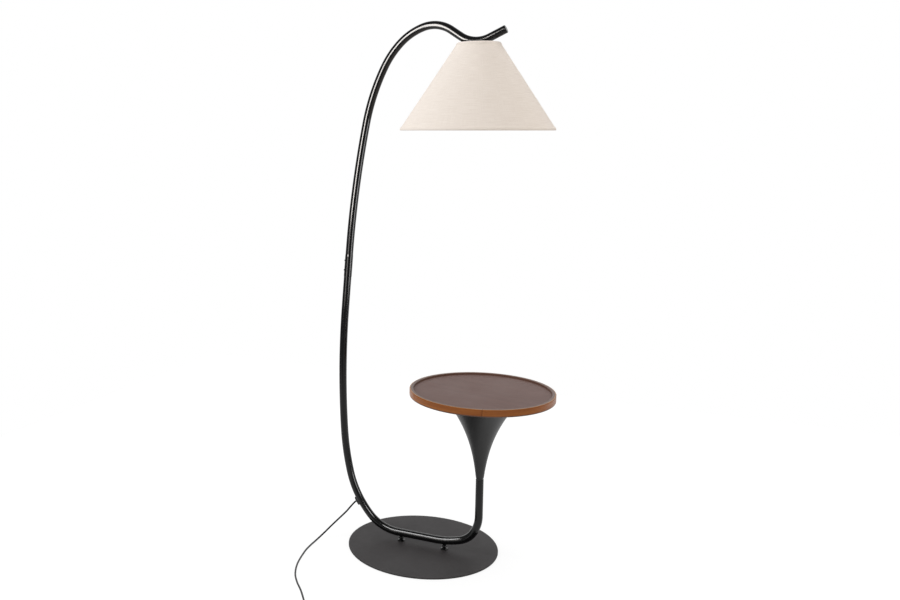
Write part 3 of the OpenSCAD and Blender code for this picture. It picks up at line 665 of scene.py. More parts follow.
@dataclass(frozen=True)
class Veneer:
    """Thin wood: warm streaks and dark pores under an oiled or lacquered skin."""

    name: str
    light: Colour
    dark: Colour
    roughness: float
    place: Place
    fineness: float = 1.0
    turn: float = 0.0
    specular: float = 0.5
    lacquer: float = 0.0
    lacquer_roughness: float = 0.12
    spread: float = 0.06
    streak_share: float = 0.55
    band_share: float = 0.45
    pore_share: float = 0.55
    depth: float = 0.06 * MM
    relief: float = 0.7

    def grained(self, surface: Surface) -> tuple[Socket, Socket]:
        """Wires the grain.

        Args:
            surface: Material that gets it.

        Returns:
            The wood's colour, and the height of its grain.
        """
        turned = surface.add(
            "ShaderNodeMapping",
            {"Vector": surface.place(self.place), "Rotation": (0.0, 0.0, math.radians(self.turn))},
        )
        grain = surface.effect(Effect.GRAINED, Place=turned.outputs[0], Fineness=self.fineness)
        bands = surface.times(grain["Band"], self.band_share)
        streaks = surface.weighted(grain["Streak"], self.streak_share, bands)
        wood = surface.blended(streaks, rgba(self.dark), rgba(self.light))
        pores = surface.times(grain["Pore"], self.pore_share)
        colour = surface.blended(pores, wood, rgba(self.dark, 0.5))
        height = surface.math("SUBTRACT", surface.times(grain["Streak"], 0.4), grain["Pore"])
        return colour, height

    def toned(self, surface: Surface, colour: Socket) -> Socket:
        """Gives the wood's colour with what is done to it after the grain; plain wood keeps it."""
        return colour

    def material(self) -> bpy.types.Material:
        """Builds the wood's material."""
        surface = Surface(self.name)
        colour, height = self.grained(surface)
        surface.set(
            Base_Color=self.toned(surface, colour),
            Roughness=surface.sheen(self.roughness, self.spread),
            Specular_IOR_Level=self.specular,
        )
        if self.lacquer:
            surface.set(Coat_Weight=self.lacquer, Coat_Roughness=self.lacquer_roughness)
        surface.raise_by(height, self.depth, self.relief)
        return surface.material


@dataclass(frozen=True, kw_only=True)
class HoopVeneer(Veneer):
    """Bent wood: warm on its outer face, stained elsewhere, with a painted highlight along its
    upper edge.

    On its UV, X runs round the hoop from the seam, and Y round its section from the top down the
    outer face.
    """

    stain: Colour
    # Pale colour of the painted highlight along the upper edge.
    edge_highlight: Colour
    length: float
    face_start: float
    face_end: float
    blur: float = 0.4 * MM
    # Width of the painted highlight band and how strong it is, unevenly.
    edge_highlight_width: float = 1.5 * MM
    edge_highlight_share: tuple[float, float] = (0.5, 0.95)
    wood_in_stain: float = 0.12
    patch: tuple[float, float] = (70 * MM, 20 * MM)
    patch_share: float = 0.45

    def toned(self, surface: Surface, colour: Socket) -> Socket:
        """Darkens the wood towards the seam, stains it off its face and paints a highlight on its
        upper edge.

        Args:
            surface: Material that gets it.
            colour: The grained wood's colour.

        Returns:
            The colour all round the section.
        """
        way = surface.parts(surface.place(Place.CLOTH))
        along, around = way["X"], way["Y"]
        start, end, blur = self.face_start, self.face_end, self.blur
        patch = surface.ranged(
            along, self.length - self.patch[0], self.length - self.patch[1], 0.0, self.patch_share
        )
        colour = surface.blended(patch, colour, rgba(self.dark))
        rise = surface.ranged(around, start - blur, start + blur)
        fall = surface.ranged(around, end - blur, end + blur, 1.0, 0.0)
        stained = surface.blended(self.wood_in_stain, rgba(self.stain), colour)
        colour = surface.blended(surface.times(rise, fall), stained, colour)
        # Painted highlight: a pale, uneven band just below the upper edge stands in for the gloss
        # that light leaves there.
        uneven = surface.noise(surface.place(Place.SOLID), scale=40.0, detail=3.0)
        highlight_patchiness = surface.ranged(uneven, 0.35, 0.65, *self.edge_highlight_share)
        edge = surface.ranged(around, start, start + self.edge_highlight_width, 1.0, 0.0)
        return surface.blended(surface.times(edge, highlight_patchiness), colour, rgba(self.edge_highlight))


@dataclass(frozen=True)
class Metal:
    """Bare metal with fine turned or drawn lines that vary its gloss."""

    name: str
    colour: Colour
    roughness: float
    lines: tuple[float, float, float] = (40.0, 40.0, 2500.0)
    dark_tone: float = 0.82
    depth: float = 0.02 * MM
    relief: float = 0.5

    def material(self) -> bpy.types.Material:
        """Builds the metal's material."""
        surface = Surface(self.name)
        place = surface.add(
            "ShaderNodeMapping", {"Vector": surface.place(Place.SOLID), "Scale": self.lines}
        )
        drawn = surface.noise(place.outputs[0], scale=1.0, detail=3.0)
        dark, light = rgba(self.colour, self.dark_tone), rgba(self.colour)
        rough, smooth = self.roughness * 1.25, self.roughness * 0.8
        surface.set(
            Base_Color=surface.blended(surface.ranged(drawn, 0.3, 0.7), dark, light),
            Metallic=1.0,
            Roughness=surface.ranged(drawn, 0.3, 0.7, smooth, rough),
        )
        surface.raise_by(drawn, self.depth, self.relief)
        return surface.material


@dataclass(frozen=True)
class OpalGlass:
    """A bulb's white inner coating under smooth glass."""

    name: str
    colour: Colour
    thin_tone: float = 0.96
    roughness: tuple[float, float] = (0.3, 0.4)
    glass_roughness: float = 0.05

    def material(self) -> bpy.types.Material:
        """Builds the glass's material, whose coating is a little uneven."""
        surface = Surface(self.name)
        cloud = surface.noise(surface.place(Place.SOLID), scale=60.0, detail=3.0)
        surface.set(
            Base_Color=surface.blended(
                cloud, rgba(self.colour, self.thin_tone), rgba(self.colour)
            ),
            Roughness=surface.ranged(cloud, 0.3, 0.7, *self.roughness),
            Coat_Weight=1.0,
            Coat_Roughness=self.glass_roughness,
        )
        return surface.material


GLOSS_BLACK = Paint(
    "gloss black paint", colour=(0.004, 0.004, 0.0043), roughness=0.13, spread=0.004,
    pebble=4 * MM, depth=0.001 * MM, specular=0.35,
)
MATTE_GREY = Paint(
    "matte grey paint", colour=(0.041, 0.0375, 0.0385), roughness=0.6, spread=0.05,
    pebble=0.7 * MM, depth=0.03 * MM, specular=0.35,
)
SATIN_BLACK = Paint(
    "satin black paint", colour=(0.0125, 0.0125, 0.013), roughness=0.42, spread=0.05,
    pebble=0.8 * MM, depth=0.015 * MM,
)
CORD_RUBBER = Paint(
    "cord rubber", colour=(0.017, 0.017, 0.018), roughness=0.42, spread=0.06,
    pebble=0.5 * MM, depth=0.01 * MM,
)
BLACK_PLASTIC = Paint(
    "black plastic", colour=(0.016, 0.016, 0.017), roughness=0.42, spread=0.06,
    pebble=0.6 * MM, depth=0.012 * MM,
)
CERAMIC = Paint(
    "glazed ceramic", colour=(0.8, 0.78, 0.73), roughness=0.16, spread=0.04,
    pebble=2 * MM, depth=0.01 * MM, contrast=0.03,
)
PAD_RUBBER = Paint(
    "foot pad rubber", colour=(0.025, 0.025, 0.025), roughness=0.8, spread=0.05,
    pebble=0.8 * MM, depth=0.05 * MM,
)
BLACKENED_SCREW = Paint(
    "blackened screw", colour=(0.03, 0.03, 0.031), roughness=0.3, spread=0.08,
    pebble=0.3 * MM, depth=0.006 * MM, metallic=0.7,
)
STEEL = Metal("drawn steel", colour=(0.56, 0.57, 0.58), roughness=0.3)
BRASS = Metal("turned brass", colour=(0.72, 0.52, 0.25), roughness=0.28)
CAP_METAL = Metal("bulb cap metal", colour=(0.66, 0.66, 0.65), roughness=0.34)
OPAL_GLASS = OpalGlass("opal bulb glass", colour=(0.9, 0.88, 0.83))
SHADE_LINEN = Linen("shade linen", light=(0.935, 0.857, 0.785), dark=(0.82, 0.733, 0.655))
TOP_VENEER = Veneer(
    "top stained veneer", light=(0.17, 0.099, 0.085), dark=(0.143, 0.083, 0.07), roughness=0.5,
    place=Place.SOLID, fineness=0.6, turn=12.0, specular=0.18,
)
BOARD_VENEER = Veneer(
    "board veneer", light=(0.2, 0.125, 0.08), dark=(0.14, 0.085, 0.055), roughness=0.6,
    place=Place.SOLID, fineness=0.8, turn=12.0,
)


# ---- Camera and room ----


@dataclass(frozen=True)
class Camera:
    """The camera, a little above the table, that looks slightly down from the front right.

    Its dip and its heading are in radians, and its lens and its sensor in millimetres.
    """

    place: tuple[float, float, float] = (0.87, -2.5565, 1.1931)
    dip: float = 0.1231
    heading: float = 0.4704
    lens: float = 38.75
    sensor: float = 36.0
    shift: tuple[float, float] = (0.1778, -0.0556)

    def build(self) -> bpy.types.Object:
        """Makes it the scene's camera."""
        data = bpy.data.cameras.new("camera")
        data.lens, data.sensor_width = self.lens, self.sensor
        data.shift_x, data.shift_y = self.shift
        camera = bpy.data.objects.new("camera", data)
        camera.location = self.place
        camera.rotation_euler = (math.pi / 2 - self.dip, 0.0, self.heading)
        bpy.context.scene.collection.objects.link(camera)
        bpy.context.scene.camera = camera
        return camera


@dataclass(frozen=True)
class Lamp:
    """One flat studio lamp, aimed at a point."""

    name: str
    place: tuple[float, float, float]
    aim: tuple[float, float, float]
    size: tuple[float, float]
    radiance: float
    colour: Colour = WHITE
    only_gloss_on: tuple[str, ...] = ()

    def build(self) -> bpy.types.Object:
        """Hangs the lamp, whose power is its radiance times its area times pi."""
        data = bpy.data.lights.new(self.name, "AREA")
        data.shape = "RECTANGLE"
        data.size, data.size_y = self.size
        data.energy = self.radiance * self.size[0] * self.size[1] * math.pi
        data.color = self.colour
        lamp = bpy.data.objects.new(self.name, data)
        away = np.array(self.place) - np.array(self.aim)
        lamp.location = self.place
        level = math.hypot(away[0], away[1])
        lamp.rotation_euler = (math.atan2(level, away[2]), 0.0, math.atan2(away[0], -away[1]))
        gloss_only = bool(self.only_gloss_on)
        lamp.visible_diffuse, lamp.visible_glossy = not gloss_only, gloss_only
        if gloss_only:
            shown_on = bpy.data.collections.new(f"{self.name} pieces")
            for name in self.only_gloss_on:
                shown_on.objects.link(bpy.data.objects[name])
            lamp.light_linking.receiver_collection = shown_on
        lamp.visible_camera = False
        bpy.context.scene.collection.objects.link(lamp)
        return lamp


WARM: Colour = (1.0, 0.96, 0.92)
AMBER: Colour = (1.0, 0.92, 0.83)
ARCH = ("tube_upper", "tube_cap")
RUN = ("tube_lower",)
SHINY = (*ARCH, *RUN, "foot_post_rear", "foot_post_front")


@dataclass(frozen=True)
class Room:
    """A pale floor and white background under soft light, with lines of light for the gloss.

    A pair of places says where a change starts and ends, and a pair of tones what it goes between.
    """

    floor_size: float = 3.6
    floor_gap: float = 0.3 * MM
    floor_grey: float = 0.55
    white_share: float = 0.8
    glow_reach: tuple[float, float] = (0.2, 0.6)
    glow: tuple[float, float] = (1.13, 1.25)
    depth_reach: tuple[float, float] = (-0.9, 0.5)
    depth_tone: tuple[float, float] = (0.35, 1.0)
    ambient: float = 0.5
    ahead_reach: tuple[float, float] = (0.35, 0.6)
    ahead_tone: tuple[float, float] = (0.22, 1.0)
    lamps: tuple[Lamp, ...] = (
        Lamp("softbox left", (-2.4, -1.7, 1.8), (0.1, 0.0, 1.2), (1.6, 1.6), 6.6),
        Lamp("softbox right", (2.6, -1.2, 1.3), (0.0, 0.0, 1.0), (1.0, 1.6), 4.0, AMBER),
        Lamp("top light", (0.15, 0.4, 3.0), (0.05, 0.0, 0.4), (2.4, 1.2), 1.9),
        Lamp("left line", (-0.56, -1.2, 1.4), (-0.2, 0, 1.3), (0.5, 1.2), 34.0, WARM, ARCH),
        Lamp("left line low", (-0.56, -1.2, 0.63), (-0.2, 0, 0.7), (0.5, 0.34), 5.0, WARM, SHINY),
        Lamp("right line", (1.74, -0.35, 0.55), (-0.2, 0.0, 0.9), (0.7, 0.7), 10.0, WHITE, SHINY),
        Lamp("crest line", (-1.0, -1.6, 0.2), (0.0, 0.0, 1.4), (1.6, 0.22), 6.0, WHITE, ARCH),
        Lamp("run line", (-0.8, -1.55, 2.2), (0.0, 0.0, 0.0), (2.4, 1.0), 18.0, WHITE, RUN),
        Lamp("heel line", (2.1, -1.95, 1.9), (-0.2, 0.0, 0.1), (1.0, 1.0), 14.0, WHITE, RUN),
    )

    def background(self) -> None:
        """Lights the room evenly and shows white to the camera and in reflections."""
        world = bpy.data.worlds.new("room")
        world.use_nodes = True
        bpy.context.scene.world = world
        wiring = Wiring(world.node_tree)
        path = wiring.add("ShaderNodeLightPath").outputs
        ahead = wiring.parts(wiring.add("ShaderNodeTexCoord").outputs["Generated"])["Y"]
        mirrored = wiring.ranged(ahead, *self.ahead_reach, *self.ahead_tone)
        strength = wiring.ranged(path["Is Camera Ray"], 0.0, 1.0, self.ambient, 1.0)
        passed = wiring.math("MAXIMUM", path["Is Glossy Ray"], path["Is Transmission Ray"])
        strength = wiring.mixed(passed, strength, mirrored)
        light = wiring.add("ShaderNodeBackground", {"Color": rgba(WHITE), "Strength": strength})
        wiring.add("ShaderNodeOutputWorld", {"Surface": light.outputs[0]})

    def floor_finish(self) -> bpy.types.Material:
        """Builds the floor's material.

        Returns:
            A grey that shows as white to the camera and in gloss, and clear from below.
        """
        material = bpy.data.materials.new("floor white")
        material.use_nodes = True
        wiring = Wiring(material.node_tree)
        path = wiring.add("ShaderNodeLightPath").outputs
        place = wiring.add("ShaderNodeTexCoord").outputs["Object"]
        behind = wiring.ranged(wiring.parts(place)["Y"], *self.depth_reach, *self.depth_tone)
        away = wiring.add("ShaderNodeVectorMath", {0: place}, operation="LENGTH").outputs["Value"]
        glow = wiring.ranged(away, *self.glow_reach, *self.glow)
        mirrored = wiring.times(path["Is Glossy Ray"], behind)
        seen = wiring.math("MAXIMUM", path["Is Camera Ray"], mirrored)
        share = wiring.times(seen, self.white_share)
        matte = wiring.add("ShaderNodeBsdfDiffuse", {"Color": rgba(WHITE, self.floor_grey)})
        white = wiring.add("ShaderNodeEmission", {"Color": rgba(WHITE), "Strength": glow})
        clear = wiring.add("ShaderNodeBsdfTransparent")
        under = wiring.add("ShaderNodeNewGeometry").outputs["Backfacing"]
        surface = matte.outputs[0]
        for part, other in ((share, white), (under, clear)):
            sides = {0: part, 1: surface, 2: other.outputs[0]}
            surface = wiring.add("ShaderNodeMixShader", sides).outputs[0]
        wiring.add("ShaderNodeOutputMaterial", {"Surface": surface})
        return material

    def floor(self) -> bpy.types.Object:
        """Lays the floor as one square face."""
        half = self.floor_size / 2
        mesh = bpy.data.meshes.new("floor")
        sides = [(-half, -half), (half, -half), (half, half), (-half, half)]
        mesh.from_pydata([(x, y, -self.floor_gap) for x, y in sides], [], [(0, 1, 2, 3)])
        mesh.materials.append(self.floor_finish())
        floor = bpy.data.objects.new("floor", mesh)
        bpy.context.scene.collection.objects.link(floor)
        return floor

    def build(self) -> None:
        """Makes background, floor and lamps."""
        bpy.context.scene.view_settings.view_transform = "Standard"
        self.background()
        self.floor()
        for lamp in self.lamps:
            lamp.build()


# ---- Cord ----


@dataclass(frozen=True)
class Cord:
    """The mains cord: from the grommet through the foot switch into a coil, and on to its plug."""

    diameter: float = 5 * MM
    sides: int = 14
    spacing: float = 2.4 * MM
    smooth_steps: int = 12
    exit: tuple[float, float, float] = (-0.205851, 0.0, 0.099678)
    lead: tuple[tuple[float, float, float], ...] = (
        (-205.85, 0, 99.68), (-212.64, 0, 95.44), (-225, -5, 80), (-236, -14, 65), (-250, -32, 49),
        (-264, -51, 33), (-278, -74, 16), (-288, -103, 4.2), (-289, -152, 2.6), (-285, -195, 2.5),
        (-270, -268, 2.5), (-248, -326, 2.5), (-222, -368, 2.5), (-192, -406, 2.5),
        (-163, -448, 2.5), (-148, -474, 4.5), (-139, -493, 8), (-133, -506, 9), (-127, -519, 9),
        (-118.5, -537, 7.2), (-105.8, -564.3, 7.2),
        (-97, -583, 9), (-87, -605, 8.6), (-78, -624, 5.5), (-70, -641, 3.8),
    )  # millimetres
    coil_centre: tuple[float, float] = (-34, -634)  # millimetres
    coil_step: float = 15.0
    coil: tuple[tuple[float, float, float], ...] = (
        (-155, 35, 3.5), (150, 35, 3.5), (205, 30, 3.5), (510, 30, 3.5), (565, 25, 3.5),
        (870, 25, 3.5), (925, 27.5, 7.83), (1230, 27.5, 7.83), (1285, 32.5, 7.83),
        (1590, 32.5, 7.83), (1645, 34, 9.33), (1680, 38.5, 7), (1710, 40, 4),
    )  # angle in degrees, radius and height in millimetres
    end: tuple[tuple[float, float, float], ...] = (
        (-16, -674, 3), (2, -674, 3.4), (14, -674, 5.8), (24, -674, 7), (46, -674, 7),
    )  # millimetres

    def coil_line(self) -> Array:
        """Winds the coil; between two knots radius and height ease by 3 t^2 - 2 t^3.

        Returns:
            Points of the coil in millimetres, one for each step of its angle.
        """
        knots = np.array(self.coil, float)
        angle = np.arange(knots[0, 0], knots[-1, 0] + 1, self.coil_step)
        k = np.clip(np.searchsorted(knots[:, 0], angle, side="right") - 1, 0, len(knots) - 2)
        t = (angle - knots[k, 0]) / (knots[k + 1, 0] - knots[k, 0])
        eased = (t * t * (3 - 2 * t))[:, None]
        radius, height = (knots[k, 1:] + (knots[k + 1, 1:] - knots[k, 1:]) * eased).T
        return about(self.coil_centre, radius, np.radians(angle), height)

    def line(self) -> Array:
        """Gives the cord's centre line in metres, evenly spaced."""
        route = np.concatenate([np.array(self.lead), self.coil_line(), np.array(self.end)])
        return resampled(smooth_line(route * MM, self.smooth_steps), self.spacing)

    def build(self) -> bpy.types.Object:
        """Sweeps the cord along its line; each ring stands across it, its first point uppermost.

        Returns:
            The cord.
        """
        line = self.line()
        ahead = np.gradient(line, axis=0)
        ahead /= np.linalg.norm(ahead, axis=1, keepdims=True)
        side = np.cross(ahead, [0.0, 0.0, 1.0])
        side /= np.linalg.norm(side, axis=1, keepdims=True)
        above = np.cross(side, ahead)
        at = lengths(line)
        radius = np.full(len(line), self.diameter / 2)
        skin = swept(line, above, side, radius, self.sides, at)
        piece = make_piece("cord", [skin], CORD_RUBBER.material())
        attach(piece, "stand")
        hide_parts("cord_lead", "cord_tail", "cord_coil", "cord_end")
        log.info("cord: %.3f m long", at[-1])
        return piece


# ---- Bent tube ----


@dataclass(frozen=True)
class TubePath:
    """A line of straight runs and bends in the plane y = 0; each meets the next without a kink.

    It starts at an x and a z with a heading in degrees. A step is (length, 0) for a run, or
    (radius, degrees turned) for a bend, to the left if positive.
    """

    start: tuple[float, float, float]
    steps: tuple[tuple[float, float], ...]

    def table(self) -> tuple[Array, Array, Array]:
        """Works out where each step starts.

        Returns:
            Each step's start along the line, its curvature, and x, z and heading at its start.
        """
        size, turn = np.array(self.steps, float).T
        turn = np.radians(turn)
        length = np.where(turn == 0, size, size * np.abs(turn))
        curvature = np.where(turn == 0, 0.0, np.sign(turn) / size)
        heading = math.radians(self.start[2]) + np.concatenate([[0.0], np.cumsum(turn)])
        dx, dz = self.moved(heading[:-1], curvature, length)
        x = self.start[0] + np.concatenate([[0.0], np.cumsum(dx)])
        z = self.start[1] + np.concatenate([[0.0], np.cumsum(dz)])
        starts = np.concatenate([[0.0], np.cumsum(length)])
        return starts, curvature, np.stack([x, z, heading], axis=-1)

    @staticmethod
    def moved(heading: Array, curvature: Array, length: Array) -> tuple[Array, Array]:
        """Gives the way made along runs and bends.

        On a bend it is (sin h1 - sin h0) / k and (cos h0 - cos h1) / k, with h1 = h0 + k length.

        Args:
            heading: Heading h0 at the start of each, in radians.
            curvature: Curvature k, 0 for a run.
            length: Length along the line.

        Returns:
            The way made in x and in z.
        """
        straight = curvature == 0
        k = np.where(straight, 1.0, curvature)
        after = heading + curvature * length
        dx = np.where(straight, length * np.cos(heading), (np.sin(after) - np.sin(heading)) / k)
        dz = np.where(straight, length * np.sin(heading), (np.cos(heading) - np.cos(after)) / k)
        return dx, dz

    def length(self) -> float:
        """Gives the whole line's length."""
        return float(self.table()[0][-1])

    def places(self, at: Array) -> tuple[Array, Array]:
        """Finds points of the line.

        Args:
            at: Lengths along the line from its start.

        Returns:
            The points, and the heading at each in radians.
        """
        starts, curvature, states = self.table()
        i = np.clip(np.searchsorted(starts, at, side="right") - 1, 0, len(curvature) - 1)
        way = at - starts[i]
        dx, dz = self.moved(states[i, 2], curvature[i], way)
        heading = states[i, 2] + curvature[i] * way
        points = np.stack([states[i, 0] + dx, np.zeros_like(at), states[i, 1] + dz], axis=-1)
        return points, heading

    def after(self, step: tuple[float, float]) -> TubePath:
        """Starts a line of one step where this one ends."""
        x, z, heading = self.table()[2][-1]
        return TubePath((float(x), float(z), math.degrees(heading)), (step,))

    def tube(self, at: Array, radius: Array, sides: int) -> Skin:
        """Sweeps a tube of varying radius along the line.

        Args:
            at: Length along the line of each ring.
            radius: Radius of each ring.
            sides: Number of steps round.

        Returns:
            The closed tube.
        """
        centres, heading = self.places(at)
        above = np.stack([-np.sin(heading), np.zeros_like(heading), np.cos(heading)], axis=-1)
        return swept(centres, above, np.array([0.0, -1.0, 0.0]), radius, sides, at)


@dataclass(frozen=True)
class BentTube:
    """The steel tube in two lengths: from the table's stem to the joint, and the arch above it."""

    radius: float = 11 * MM
    edge: float = 0.4 * MM
    spacing: float = 5 * MM
    sides: int = 64
    end_rings: tuple[float, ...] = (0.0, 0.12, 0.4, 1.0, 3.0)  # how far in, in edge radii
    crisp: float = 0.4 * MM
    socket_radius: float = 11.5 * MM
    socket_length: float = 60 * MM
    cone_length: float = 6 * MM
    lower: TubePath = TubePath(
        (0.163012, 0.228, 270.0),
        (
            (0.106959, 0), (0.098, -32), (0.069, -40), (0.236, -18), (0.113, 0), (0.121, -48),
            (0.277, -28), (0.750, -10), (2.6, -8), (0.093, 0),
        ),
    )
    upper: TubePath = TubePath(
        (-0.241805, 0.771503, 86.0),
        (
            (0.068, 0), (3.08, -7), (0.59, -16), (0.246, -18), (0.168, -26), (0.091, -53),
            (0.031, 0), (0.081, 59), (0.045, 0),
        ),
    )

    def rings(self, length: float, marks: list[float]) -> Array:
        """Spaces a tube's rings evenly, with more at its two rounded ends.

        Args:
            length: Length of the tube.
            marks: Places along it that also get a ring.

        Returns:
            Length along the tube of each ring.
        """
        even = np.linspace(0.0, length, round(length / self.spacing) + 1)[1:-1]
        ends = np.array(self.end_rings) * self.edge
        rings = np.concatenate([even, ends, length - ends, np.array(marks)])
        return np.unique(np.round(rings, 7))

    def rounded_ends(self, at: Array, radius: Array) -> Array:
        """Draws the radius in by a quarter circle over the last bit of each end."""
        way = np.clip(np.minimum(at, at[-1] - at) / self.edge, 0.0, 1.0)
        return radius - self.edge * (1 - np.sqrt(1 - (1 - way) ** 2))

    def build(self, paint: bpy.types.Material) -> list[bpy.types.Object]:
        """Makes both lengths.

        Args:
            paint: The tube's gloss paint.

        Returns:
            The lower and the upper tube.
        """
        below, over = self.lower.length(), self.upper.length()
        at = self.rings(below, [])
        radius = self.rounded_ends(at, np.full(len(at), self.radius))
        lower = make_piece("tube_lower", [self.lower.tube(at, radius, self.sides)], paint)
        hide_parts("lower_tube")

        marks = [self.socket_length, self.socket_length + self.cone_length]
        near = [m + d for m in marks for d in (-self.crisp, self.crisp)]
        at = self.rings(over, marks + near)
        radius = self.rounded_ends(at, np.interp(at, marks, [self.socket_radius, self.radius]))
        upper = make_piece("tube_upper", [self.upper.tube(at, radius, self.sides)], paint)
        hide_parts("upper_tube")
        for piece in (lower, upper):
            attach(piece, "stand")
        log.info("tube: %.3f m below the joint, %.3f m above it", below, over)
        return [lower, upper]


@dataclass(frozen=True)
class EndCap:
    """The cap that closes the arch's free end, set off by a fine groove."""

    path: TubePath
    sides: int = 64
    outline: tuple[tuple[float, float], ...] = (
        (-1.0, 10.4), (0.3, 10.4), (0.35, 10.8), (0.5, 11.0), (0.8, 11.0), (1.5, 11.0),
        (1.8, 10.85), (2.3, 10.4), (2.8, 9.9), (3.1, 9.4), (3.2, 8.6), (3.2, 7.0),
    )  # how far along and radius, in millimetres

    def build(self, paint: bpy.types.Material) -> bpy.types.Object:
        """Turns the cap about the tube's line."""
        at, radius = np.array(self.outline).T * MM
        piece = make_piece("tube_cap", [self.path.tube(at, radius, self.sides)], paint)
        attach(piece, "stand")
        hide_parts("tube_end_cap")
        log.info("tube end cap")
        return piece


# ---- Foot ----


@dataclass(frozen=True)
class Foot:
    """The round steel plate and the two turned posts that carry the tube over it."""

    radius: float = 213 * MM
    bottom: float = 1.0 * MM
    top: float = 5.0 * MM
    edge: float = 0.8 * MM
    edge_steps: int = 5
    inner_share: float = 0.9
    inner_edge: float = 0.01 * MM
    columns: int = 288
    posts: tuple[tuple[str, float], ...] = (("rear", -0.065), ("front", 0.065))
    post_columns: int = 64
    post_steps: int = 4
    post_outline: tuple[tuple[float, float], ...] = (
        (10.2, 0.0), (10.8, 0.1), (11.1, 0.5), (11.1, 1.1), (10.7, 1.8), (9.7, 2.5), (8.0, 3.1),
        (6.4, 3.6), (5.4, 4.1), (5.1, 4.7), (5.5, 5.3), (6.4, 6.1), (7.0, 7.2), (7.1, 8.4),
        (6.8, 9.6), (6.1, 10.6), (5.4, 11.3), (5.2, 12.2), (5.2, 16.0),
    )  # radius and height over the plate, in millimetres

    def plate(self, paint: bpy.types.Material) -> bpy.types.Object:
        """Turns the plate, its rim rounded and each of its flat faces closed by a fan.

        Args:
            paint: The plate's paint.

        Returns:
            The plate.
        """
        inner, outer = self.radius * self.inner_share, self.radius
        low, high = self.bottom, self.top
        corners = np.array([(inner, low), (outer, low), (outer, high), (inner, high)])
        edges = [self.inner_edge, self.edge, self.edge, self.inner_edge]
        rim = filleted(corners, edges, self.edge_steps)
        skip = self.edge_steps + 2  # an inner corner keeps only its points nearest the rim
        skin = revolved(rim[skip : 1 - skip], (0.0, 0.0), self.columns, low=low, high=high)
        piece = make_piece("foot_plate", [skin], paint)
        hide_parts("base_plate")
        return piece

    def post(self, side: str, x: float, paint: bpy.types.Material) -> bpy.types.Object:
        """Turns one post: a flared foot, a slim waist and a bead under the tube.

        Args:
            side: Which post it is.
            x: Where its axis stands.
            paint: Its paint.

        Returns:
            The post.
        """
        outline = smooth_line(np.array(self.post_outline), self.post_steps) * MM + [0.0, self.top]
        ends = {"low": outline[0, 1], "high": outline[-1, 1]}
        skin = revolved(outline, (x, 0.0), self.post_columns, **ends)
        piece = make_piece(f"foot_post_{side}", [skin], paint)
        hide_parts(f"post_{side}")
        return piece

    def build(
        self, matte: bpy.types.Material, gloss: bpy.types.Material
    ) -> list[bpy.types.Object]:
        """Makes the plate and both posts.

        Args:
            matte: The plate's paint.
            gloss: The posts' paint.

        Returns:
            The three pieces.
        """
        posts = [self.post(side, x, gloss) for side, x in self.posts]
        pieces = [self.plate(matte), *posts]
        for piece in pieces:
            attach(piece, "stand")
        log.info("foot: plate and %d posts", len(posts))
        return pieces


# ---- Table ----


